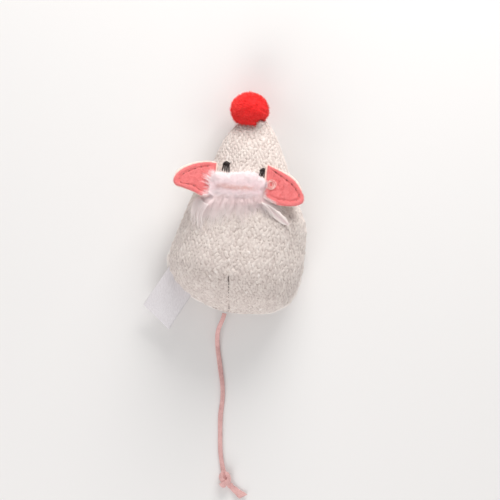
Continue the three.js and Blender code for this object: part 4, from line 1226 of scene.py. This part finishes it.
def ear_frame(joint, side, pitch, sweep):
    """The ear's own frame: its hinge at the origin, X out along the leaf and Y along the base."""
    along_base = -Vector(joint["axis"]).normalized()
    pitch, sweep = math.radians(pitch), math.radians(sweep)
    out = Vector((side * math.cos(sweep), math.sin(sweep), -math.tan(pitch)))
    out = (out - along_base * out.dot(along_base)).normalized()
    up = out.cross(along_base)
    turned = Matrix((out, along_base, up)).transposed().to_4x4()
    turned.translation = Vector(joint["pos_m"])
    return turned


joints = {joint["name"]: joint for joint in frame["joints"]}
for ear, (side, pitch, sweep) in ear_slopes.items():
    ear_at = ear_frame(joints[ear + "_fold"], side, pitch, sweep)
    front = leaf(ear + "_felt", ear, side, ear_at, leaf_gap / 2, leaf_gap / 2 + felt_thickness, 0.0)
    back = leaf(ear + "_cream", ear, side, ear_at, -leaf_gap / 2 - felt_thickness, leaf_gap / 2, cream_rim)
    front.data.materials.append(coral_felt)
    back.data.materials.append(cream_cloth)
    turned = np.array(ear_at.to_3x3())
    normals = np.array([tuple(v.normal) for v in front.data.vertices])
    fuzz_bed = strand_bed(ear + "_fuzz_bed", [v.co for v in front.data.vertices],
                          [f.vertices for f in front.data.polygons], normals * 0.5,
                          amount=(normals @ turned[:, 2] > -0.2).astype(float))
    fuzz = grow(ear + "_felt_fuzz", fuzz_bed, strand_tree, Density=1.4e7, Seed=12, Length=0.0010, Uneven=0.6,
                Radius=0.00003, Point=0.3, Stray=0.9, Arch=0.0, Wave=0.0005, Wave_Size=0.001, Steps=4,
                Material=coral_fuzz)
    for piece, node, slot, spread in (
        (front, "_front", "ear_felt", 0.0), (fuzz, "_front", "ear_felt", None),
        (back, "_back", "ear_backing", cream_rim),
    ):
        stand_in(piece, ear, ear + node)
        if spread is not None:
            x, y = leaf_outline(ear, side, spread).T
    arc = curve_through(leaf_shares[ear] * (ear_length, ear_base), leaf_steps) * (1, side)
    arc = arc[edge_stitch_ends:-edge_stitch_ends]
    middle = leaf_middle * (ear_length, ear_base) * (1, side)
    inner = arc - unit(arc - middle) * stitch_inset * thread_inset
    bend = leaf_height(inner[:, 0], inner[:, 1], side, np.full(len(inner), stitch_inset))
    bend = bend + thread_lift * (inner[:, 1] * side > 0)
    local = np.column_stack([inner, bend + leaf_gap / 2 + felt_thickness])
    world = local @ turned.T + np.array(ear_at.translation)
    stitch_row(ear + "_edge_stitches", world, np.broadcast_to(turned[:, 2], world.shape), ear,
               ear + "_edge_stitch", "dark_thread", Spacing=0.0025, Length=0.0007, Radius=0.00012, Dip=0.0004,
               Material=coral_thread)
    finish_solid(ear + "_base_stitch", thread_pale)


# The ruff: pale pink marabou down, spun on a string that is sewn across the head between the ears. Barbs
# flow forward from the string to the eyes and back over the neck, with a crease along the string.
ruff_left = -0.0110
ruff_right = 0.0097
ruff_rear = 0.0066
ruff_crease = 0.0113
ruff_slope = 0.09
# How far forward the down reaches across the head, kept off the eyes: mm across, mm forward
ruff_edge = 0.001 * np.array([
    (-12, 17.7), (-9, 18.2), (-7.4, 17.3), (-4.0, 17.3), (-3, 18.1), (1.5, 18.9), (5.6, 19.3), (7.0, 17.6),
    (10, 17.0),
])
front_swell = 0.0036
rear_swell = 0.0023
ruff_columns = 60
ruff_rows = 44
ruff_narrowing, ruff_front_gap = 0.0050, 0.0007
edge_ripple, edge_patch = 0.0005, 0.0024
crease_wave, crease_waves = 0.0003, 7
core_lift, core_lumps, lump_patch = 0.0004, 0.0006, 0.0027
felt_lift, felt_slope, felt_reach = 0.0003, 0.9, 0.006
least_core = 0.0002
core_smoothing = 10
core_depth = 0.0006
# The barbs: how near the eyes they grow shorter, how near the crease they turn, and how they spread
eye_room, crease_turn = 0.0034, 0.0016
least_spread, left_spread, right_spread, spread_wander = 0.15, 1.6, 1.3, 0.35
down_onward, down_rise, down_drop = 0.95, 0.55, 0.30
middle_reach, left_reach, right_reach, least_reach = 0.62, 0.50, 0.6, 0.22
crease_width = 0.0008
ground_rows, ground_columns = 120, 90
ground_along = np.linspace(0.002, 0.998, ground_rows + 1)[:, None]
ground_points = skin(ground_along, seam_to_seam(ground_columns)).reshape(-1, 3)
ground_faces = [tuple(f) for f in grid_faces(ground_rows + 1, ground_columns + 1)]
for ear in leaf_shares:
    first = len(ground_points)
    felt = bpy.data.objects[ear + "_felt"].data
    ground_points = np.concatenate([ground_points, [tuple(v.co) for v in felt.vertices]])
    ground_faces += [tuple(first + k for k in f.vertices) for f in felt.polygons]


def felt_top(ear, x, y):
    """The height of an ear's felt over plan points, and how far out from its hinge they lie."""
    side, pitch, sweep = ear_slopes[ear]
    at = ear_frame(joints[ear + "_fold"], side, pitch, sweep)
    out, _, up = np.array(at.to_3x3()).T
    far = np.stack([x, y], -1) - np.array(at.translation)[:2]
    z = at.translation.z + (leaf_gap / 2 + felt_thickness - far @ up[:2]) / up[2]
    return z, far @ out[:2] / np.linalg.norm(out[:2])


def ruff_grid():
    """The sheet over the down's heart: points, faces, share across, plan X and Y, and crease distance."""
    s, t = np.meshgrid(np.linspace(0, 1, ruff_columns + 1), np.linspace(0, 1, ruff_rows + 1))
    x = ruff_left + (ruff_right - ruff_left) * s
    narrow = ruff_narrowing * np.clip(1 - s / 0.20, 0, 1) ** 2
    front = np.interp(x, *ruff_edge.T) - ruff_front_gap
    y = ruff_rear + narrow * 0.4 + (front - ruff_rear - narrow) * t
    y = y + edge_ripple * mottle(x, y, edge_patch, 84) * np.abs(2 * t - 1) ** 3
    crease = ruff_crease + ruff_slope * x + crease_wave * np.sin(s * crease_waves)
    ahead = np.clip((y - crease) / (front - crease), 0, 1)
    behind = np.clip((crease - y) / (crease - ruff_rear), 0, 1)
    swell = np.where(y > crease, front_swell * np.sin(math.pi * np.clip(0.33 + ahead * 0.65, 0, 1)),
                     rear_swell * np.sin(math.pi * np.clip(0.45 + behind * 0.53, 0, 1)))
    sides = np.clip(np.minimum(s / 0.30, (1 - s) / 0.06), 0, 1)
    sides = sides * (2 - sides)
    lift = core_lift + swell * sides + core_lumps * mottle(x, y, lump_patch, 81) * sides
    points = on_back(x, y, lift)
    over, past = felt_top("left_ear", x, y)
    over = over + felt_lift - felt_slope * np.clip(-past, 0, felt_reach)
    height = np.maximum(points[..., 2], over)
    for _ in range(core_smoothing):
        near = np.pad(height, 1, mode="edge")
        near = (near[:-2] + 2 * near[1:-1] + near[2:]) / 4
        height = (near[:, :-2] + 2 * near[:, 1:-1] + near[:, 2:]) / 4
    points[..., 2] = np.maximum(height, on_back(x, y, least_core)[..., 2])
    return points.reshape(-1, 3), grid_faces(ruff_rows + 1, ruff_columns + 1)[:, ::-1], s, x, y, y - crease


core_points, core_faces, core_s, core_x, core_y, from_crease = ruff_grid()
down_core = mesh_piece("ruff_down_core", core_points, core_faces)
# Along the crease the down turns peach: partly the peach of the barbs' roots that show there, partly painted
# shade in the crease.
crease_peach_and_shade = hill(from_crease, crease_width) * np.clip(np.sin(math.pi * core_s) * 1.6 - 0.4, 0, 1)
mark(down_core.data, "fold", crease_peach_and_shade.ravel())
down_sheen = {"Sheen_Weight": 0.4, "Sheen_Roughness": 0.5}
core_pink = grained_material("down_core", (255, 238, 241), (255, 229, 233), 0.0003, 0.0035, 0.0003, 1.0,
                             **down_sheen)
core_tree = core_pink.node_tree
core_shader = core_tree.nodes["Principled BSDF"]
core_plain = core_shader.inputs["Base Color"].links[0].from_socket
core_colour = mix_colours(core_tree, marked(core_tree, "fold"), core_plain, linear(250, 206, 198))
core_tree.links.new(core_colour, core_shader.inputs["Base Color"])
down_core.data.materials.append(core_pink)


def give_depth(piece, depth):
    """Makes a sheet into a thin solid, downward from its own face."""
    wall = piece.modifiers.new("depth", "SOLIDIFY")
    wall.thickness = depth
    wall.offset = -1


give_depth(down_core, core_depth)
fluff_ground = mesh_piece("fluff_ground", np.concatenate([ground_points, core_points]),
                          ground_faces + [tuple(f + len(ground_points)) for f in core_faces])

outer = (core_s - 0.5) * 2
forward = np.tanh(from_crease / crease_turn)
to_left = -(least_spread + left_spread * outer**4)
to_right = 0.06 + right_spread * np.clip(outer * 5 - 4, 0, 1)
sideways = np.where(outer < 0, to_left, to_right)
sideways = sideways + spread_wander * mottle(core_s, core_y / 0.02, 0.11, 82)
down_flow = np.stack([sideways, forward * down_onward, down_rise - down_drop * np.abs(forward)], -1)
room_ahead = np.where(from_crease > 0, (np.interp(core_x, *ruff_edge.T) - core_y) / eye_room, 1)
down_reach = np.clip(room_ahead, least_reach, 1) * np.where(outer > 0.8, right_reach, 1)
down_reach = down_reach * (middle_reach + left_reach * np.clip(-outer * 1.8 - 0.8, 0, 1))
down_bed = strand_bed("down_bed", core_points, core_faces, down_flow.reshape(-1, 3), down_reach.ravel(),
                      np.clip(0.25 + np.abs(from_crease) / crease_turn, 0, 1).ravel())
pink_down = strand_material("pink_down", (255, 241, 243), (255, 250, 251), (255, 235, 238), 0.8, **down_sheen)
down = grow("ruff_down_barbs", down_bed, strand_tree, Density=1.55e7, Seed=8, Length=0.0044, Uneven=0.62,
            Radius=0.00005, Point=0.2, Stray=0.50, Arch=0.0004, Wave=0.0026, Wave_Size=0.0020, Steps=6,
            Hug=0.30, Lift=0.0005, Ground=fluff_ground, Material=pink_down)
for piece in (down, down_core):
    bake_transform(piece)
    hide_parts("ruff_down")


# The loose fan behind the ruff: long thin barbs in locks that lie back over the neck, and one plume on a
# pale quill. The barbs are so thin that the cloth shows between them.
fan_left, fan_right = -0.0114, 0.0094
fan_root = 0.0078
fan_slope = 0.13
fan_depth = 0.0028
# Across the fan from left to right: where, the barbs' turn from straight back, how they bend, and their reach
fan_shape = np.array([
    (0.0, -66, 24, 1.05), (0.10, -50, 22, 1.25), (0.24, -26, 14, 1.32), (0.42, -8, 4, 1.08),
    (0.60, 6, 0, 1.02), (0.78, 28, -4, 0.90), (0.90, 54, -4, 1.05), (1.0, 74, -6, 1.15),
])
# Locks that stand out: the root across and along in mm, turn, bend, length and width in mm, and amount
fan_locks = (
    (-11.4, 6.2, -72, 50, 10.0, 0.4, 1.0), (-10.8, 5.6, -62, 44, 9.4, 0.4, 1.0),
    (-10.0, 5.2, -50, 38, 8.6, 0.4, 1.0), (-8.8, 5.0, -40, 30, 8.2, 0.4, 1.0),
    (-9.2, 6.0, -26, 14, 13.4, 3.4, 0.6), (-6.6, 6.3, -16, 6, 12.8, 2.8, 0.45),
    (-3.4, 6.8, -20, 16, 12.0, 1.6, 0.4), (-1.6, 6.6, 4, -14, 11.0, 2.6, 0.3),
    (1.4, 7.0, -4, 16, 11.4, 1.8, 0.35), (3.0, 7.2, 20, -10, 10.0, 2.4, 0.3),
    (4.8, 7.6, 10, 16, 6.5, 1.8, 0.5), (8.6, 7.8, 72, -6, 11.5, 2.6, 0.7),
)
fan_grid = (25, 5)
lock_grid = (4, 4)
lock_draw = 0.3
lock_depth = 1.2
fan_lift, fan_rise = 0.0025, 0.10
# How the fan changes from place to place: by how much, and over what share of its width
turn_change, reach_change, amount_change = (15, 0.060), (0.22, 0.045), (0.55, 0.038)


def turned_way(degrees):
    """The plan direction that lies so many degrees to the right of straight back."""
    return np.stack([np.sin(np.radians(degrees)), -np.cos(np.radians(degrees))], -1)


def fan_part(plan, way, bend, reach, amount):
    """A grid of roots over the neck: points, grid, the barbs' flow and bend, and their reach and amount."""
    grid = plan.shape[:2]
    rise = np.full((*grid, 1), fan_rise)
    points = on_back(plan[..., 0], plan[..., 1], fan_lift).reshape(-1, 3)
    flow = np.concatenate([way, rise], -1).reshape(-1, 3)
    bend = np.concatenate([bend, 0 * rise], -1).reshape(-1, 3)
    reach, amount = [np.broadcast_to(value, grid).ravel() for value in (reach, amount)]
    return points, grid, flow, bend, reach, amount


s, t = np.meshgrid(np.linspace(0, 1, 4 * fan_grid[0]), np.linspace(-0.5, 0.5, fan_grid[1]))
fan_turn, fan_bend, fan_reach = [np.interp(s, fan_shape[:, 0], fan_shape[:, k]) for k in (1, 2, 3)]
fan_turn = fan_turn + turn_change[0] * mottle(s, 0.2 * t, turn_change[1], 83)
fan_plan_x = fan_left + (fan_right - fan_left) * s
fan_plan = np.stack([fan_plan_x, fan_root + fan_slope * fan_plan_x + fan_depth * t], -1)
fan_way = turned_way(fan_turn)
fan_reach = fan_reach * (0.84 + reach_change[0] * mottle(s, t, reach_change[1], 85))
fan_amount = np.clip(0.62 + amount_change[0] * mottle(s, t, amount_change[1], 86), 0.12, 1)
fan_bend = turned_way(fan_turn + fan_bend) - fan_way
fan_parts = [fan_part(fan_plan, fan_way, fan_bend, fan_reach, fan_amount)]
for lock_x, lock_y, turn, bend, length, width, amount in fan_locks:
    across, along = np.meshgrid(np.linspace(-0.5, 0.5, lock_grid[0]), np.linspace(-0.5, 0.5, lock_grid[1]))
    way = turned_way(turn)
    side = np.array((-way[1], way[0]))
    roots = np.array((lock_x, lock_y)) + across[..., None] * side * width
    plan = 0.001 * (roots + along[..., None] * way * lock_depth)
    flow = way - side * lock_draw * across[..., None] * width / length * 2
    fan_parts.append(fan_part(plan, flow, np.broadcast_to(turned_way(turn + bend) - way, flow.shape),
                              length / 10, amount))
fan_firsts = np.cumsum([0] + [len(part[0]) for part in fan_parts])
fan_faces = np.concatenate([grid_faces(*part[1], first=first) for part, first in zip(fan_parts, fan_firsts)])
fan_points, fan_flow, fan_bends, fan_reaches, fan_amounts = [
    np.concatenate([part[k] for part in fan_parts]) for k in (0, 2, 3, 4, 5)]
fan_bed = strand_bed("fan_bed", fan_points, fan_faces, fan_flow, fan_reaches, fan_amounts, fan_bends)
pale_wisp = strand_material("pale_wisps", (255, 237, 237), (255, 252, 249), (255, 233, 233), 0.8,
                            **down_sheen)
wisps = grow("ruff_wisp_barbs", fan_bed, strand_tree, Density=4.6e7, Seed=9, Length=0.0108, Uneven=0.60,
             Radius=0.000042, Point=0.25, Stray=0.15, Arch=0.0006, Wave=0.0044, Wave_Size=0.0048, Steps=9,
             Hug=0.90, Lift=0.0006, Ground=fluff_ground, Material=pale_wisp)

# The longest barbs, which stand out singly: the root in mm, turn, bend and length in mm
long_barbs = (
    (-11.6, 5.4, -78, 50, 9.0), (-11.3, 4.8, -72, 46, 9.4), (-10.8, 4.4, -62, 36, 9.0),
    (-10.2, 4.0, -52, 30, 8.8), (-9.4, 3.8, -42, 24, 8.2), (9.0, 6.8, 66, -8, 10.2),
)
barb_width, barb_thinning = 0.00026, 0.55
barb_lift, barb_fall, barb_bow = 0.0028, 0.0014, 0.0006
# Each is a pair, set apart by these shares of a turn in degrees, a place in mm and a length
pair_shifts = (-0.45, 0.3)
pair_turn, pair_place, pair_length = 14, 0.4, 0.3
barb_steps = 12
straight_up = (0.0, 0.0, 1.0)
barb_share = np.linspace(0, 1, barb_steps)
barb_threads = []
for barb_x, barb_y, turn, bend, length in long_barbs:
    for shift in pair_shifts:
        way = turned_way(turn + pair_turn * shift)
        turning = turned_way(turn + bend) - turned_way(turn)
        run = way * barb_share[:, None] + turning * barb_share[:, None] ** 2
        run = run * length * (1 + pair_length * shift) * 0.9
        plan = 0.001 * (np.array((barb_x + pair_place * shift, barb_y)) + run)
        line = on_back(*plan.T, barb_lift - barb_fall * barb_share + barb_bow * np.sin(math.pi * barb_share))
        thick = barb_width * (1 - barb_thinning * barb_share)
        barb_threads.append(flat_lace("long_barb", line, straight_up, thick, thick))
singles = joined("ruff_long_barbs", barb_threads)
white_barb = grained_material("white_barb", (255, 250, 248), (255, 241, 240), 0.0003, 0.003, 0.00004, 0.8,
                              **down_sheen)
singles.data.materials.append(white_barb)
for piece in (wisps, singles):
    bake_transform(piece)
    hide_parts("ruff_wisps")

# The plume's quill, and how high it floats over the cloth at each point of its route
plume_route = np.array([(0.0088, 0.0072), (0.0122, 0.0051), (0.0156, 0.0031), (0.0194, 0.0009)])
plume_lifts = (0.0026, 0.0020, 0.0015, 0.0012)
plume_steps = 14
quill_root_radius, quill_thinning = 0.00022, 0.6
plume_line = curve_through(on_back(plume_route[:, 0], plume_route[:, 1], plume_lifts), plume_steps)
plume_way = unit(np.gradient(plume_line, axis=0))
plume_side = unit(np.cross(plume_way, (0, 0, 1)))
plume_share = np.linspace(0, 1, len(plume_line))
quill_radius = quill_root_radius * (1 - quill_thinning * plume_share)
quill = flat_lace("plume_quill", plume_line, straight_up, 2 * quill_radius, 2 * quill_radius)
pale_quill = grained_material("pale_quill", (250, 240, 232), (234, 214, 204), 0.0004, 0.003, 0.00004, 0.45)
quill.data.materials.append(pale_quill)

# The plume's vane: a thin web on both sides of the quill's outer part, with loose barbs along it
web_start = 0.25
web_width, web_columns = 0.00145, 9
web_sunk, web_sag = 0.00010, 0.00030
web_thickness = 0.00008
vane_half = 0.00012
vane_onward, vane_outward = 0.85, 0.55
web_share = np.clip(0.06 + 0.86 * (plume_share - web_start) / (1 - web_start), 0, 1)
web_half = web_width * np.sin(math.pi * web_share) ** 0.4
web_half = web_half * (1 + 0.2 * mottle(plume_share, 0 * plume_share, 0.07, 88))
web_across = np.linspace(-1, 1, web_columns)
web_points = plume_line[:, None] + plume_side[:, None] * (web_across[:, None] * web_half[:, None, None])
web_points[..., 2] -= web_sunk + web_sag * web_across**2
web_points = web_points[plume_share > web_start]
web = mesh_piece("plume_web", web_points.reshape(-1, 3), grid_faces(len(web_points), web_columns)[:, ::-1])
pale_web = grained_material("plume_web", (255, 249, 246), (255, 241, 237), 0.0002, 0.003, 0.00008, 0.9)
web.data.materials.append(pale_web)
give_depth(web, web_thickness)
vane_points = np.concatenate([plume_line - plume_side * vane_half, plume_line + plume_side * vane_half])
vane_way, vane_side = plume_way * vane_onward, plume_side * vane_outward
vane_flow = np.concatenate([vane_way - vane_side, vane_way + vane_side])
vane_reach = np.tile(np.clip(1.15 - 0.75 * plume_share, 0.2, 1), 2)
vane_bed = strand_bed("vane_bed", vane_points, grid_faces(2, len(plume_line)), vane_flow, vane_reach)
vane = grow("plume_vane", vane_bed, strand_tree, Density=2.6e8, Seed=10, Length=0.0034, Uneven=0.35,
            Radius=0.00004, Point=0.2, Stray=0.16, Arch=0.0002, Wave=0.0010, Wave_Size=0.0020, Steps=6,
            Material=pale_wisp)
for piece, node, slot in (
    (quill, "ruff_plume_quill", "quill"), (vane, "ruff_plume", "down"), (web, "ruff_plume", "down"),
):
    stand_in(piece, "feather_fan", node)

# A loose curl of the down, caught on the right ear's felt
curl_plan = 0.001 * np.array([
    (10.6, 15.9), (11.6, 16.5), (12.7, 16.3), (13.4, 15.3), (13.1, 14.1), (12.1, 13.4), (11.0, 13.6),
    (10.3, 14.3),
])
curl_lift, curl_width, curl_steps = 0.0003, 0.00015, 6
# Its threads: size, turn and shift of each
curl_copies = ((1.0, 0.0, 0.0), (0.78, 0.5, 0.0003), (0.45, -1.2, 0.0002), (1.12, 0.2, 0.0004))
curl_middle = curl_plan.mean(0)
curl_threads = []
for size, turn, shift in curl_copies:
    spin = np.array([[math.cos(turn), -math.sin(turn)], [math.sin(turn), math.cos(turn)]])
    plan = curl_middle + (curl_plan - curl_middle) @ spin.T * size + shift
    curl_height = felt_top("right_ear", *plan.T)[0] + curl_lift + shift
    line = curve_through(np.column_stack([plan, curl_height]), curl_steps)
    curl_threads.append(flat_lace("curl_thread", line, straight_up, curl_width, curl_width))
curl = joined("ruff_stray_curl", curl_threads)
curl.data.materials.append(pale_quill)
stand_in(curl, "right_ear", "right_ear_front")
bpy.data.objects.remove(fluff_ground)


# The side label: a bare white satin ribbon, folded into a loop. Its two ends are sewn askew into the left
# seam, so that the loop stands out from the side and droops a little.
label_joint = joints["label_fold"]
label_width = 0.0136
label_length = 0.0159
label_root = 0.003
label_droop = math.radians(12)
label_lean = math.radians(217)
label_skew = math.tan(math.radians(-10.6))
ribbon_thickness = 0.00032
loop_half = 0.00062
ribbon_steps = 96
ribbon_columns = 44
ribbon_arch, ribbon_arch_run, ribbon_fall, ribbon_cup = 0.0011, 2.4, 0.0010, 0.0007
ribbon_twist, ribbon_twist_run, ribbon_twist_start = 0.0005, 3.0, 0.6
ribbon_rough, ribbon_patch = 0.00012, 0.005
loop_flatness, loop_power = 0.45, 4

label_x = Vector(label_joint["axis"]).normalized()
label_out = Vector((math.sin(label_lean), math.cos(label_lean), -math.tan(label_droop))).normalized()
label_up = label_x.cross(label_out).normalized()
label_out = label_up.cross(label_x)
straight = label_length - loop_half + label_root
ribbon_run = np.linspace(0, 2 * straight + math.pi * loop_half, ribbon_steps)
turned = np.clip((ribbon_run - straight) / loop_half, 0, math.pi)
ribbon_y = np.where(ribbon_run < straight, ribbon_run, straight + loop_half * np.sin(turned))
ribbon_y = np.where(ribbon_run > straight + math.pi * loop_half,
                    straight - (ribbon_run - straight - math.pi * loop_half), ribbon_y) - label_root
loop_share = np.clip((ribbon_y + label_root) / straight, 0, 1) ** loop_power
ribbon_z = loop_half * np.cos(turned) * (loop_flatness + 0.55 * loop_share)
ribbon_out = np.stack([np.sin(turned), np.cos(turned)], -1)


def ribbon_face(offset):
    x = np.linspace(-0.5, 0.5, ribbon_columns + 1)[None] * label_width
    y = (ribbon_y + ribbon_out[:, 0] * offset)[:, None]
    z = (ribbon_z + ribbon_out[:, 1] * offset)[:, None]
    out = np.clip(y / label_length, 0, 1)
    bend = ribbon_arch * np.sin(ribbon_arch_run * out) - ribbon_fall * out**2
    bend = bend + ribbon_cup * out * (2 * x / label_width) ** 2
    bend = bend + ribbon_twist * out * np.sin(ribbon_twist_run * x / label_width + ribbon_twist_start)
    bend = bend + ribbon_rough * mottle(x + 0.05, y + 0.05, ribbon_patch, 91)
    x, y, z = np.broadcast_arrays(x + label_skew * y, y, z + bend)
    frame_axes = np.array([label_x, label_out, label_up])
    return (np.stack([x, y, z], -1) @ frame_axes + np.array(label_joint["pos_m"])).reshape(-1, 3)


columns = ribbon_columns + 1
ribbon_points = np.concatenate([ribbon_face(ribbon_thickness / 2), ribbon_face(-ribbon_thickness / 2)])
second = ribbon_steps * columns
ribbon_faces = [tuple(f) for f in grid_faces(ribbon_steps, columns)]
ribbon_faces += [tuple(f[::-1]) for f in grid_faces(ribbon_steps, columns, first=second)]
ribbon_border = border_of(ribbon_steps, columns)
for a, b in zip(ribbon_border, ribbon_border[1:] + ribbon_border[:1]):
    ribbon_faces.append((b, a, second + a, second + b))
ribbon = mesh_piece("label_ribbon", ribbon_points, ribbon_faces)
satin, satin_tree, satin_shader = new_material("white_satin", 0.42, Sheen_Weight=0.15, Anisotropic=0.3)
satin_noise = streaks(satin_tree, (5200, 700, 5200), math.radians(37))
# Streaks of lighter and darker white along the satin: painted sheen.
satin_sheen_share = ramp(satin_tree, satin_noise, 0.3, 0.7)
satin_sheen_colour = mix_colours(satin_tree, satin_sheen_share, linear(220, 215, 218), linear(236, 232, 235))
satin_tree.links.new(satin_sheen_colour, satin_shader.inputs["Base Color"])
add_relief(satin_tree, satin_shader, satin_noise, 0.00003)
ribbon.data.materials.append(satin)
stand_in(ribbon, "label", "side_label")
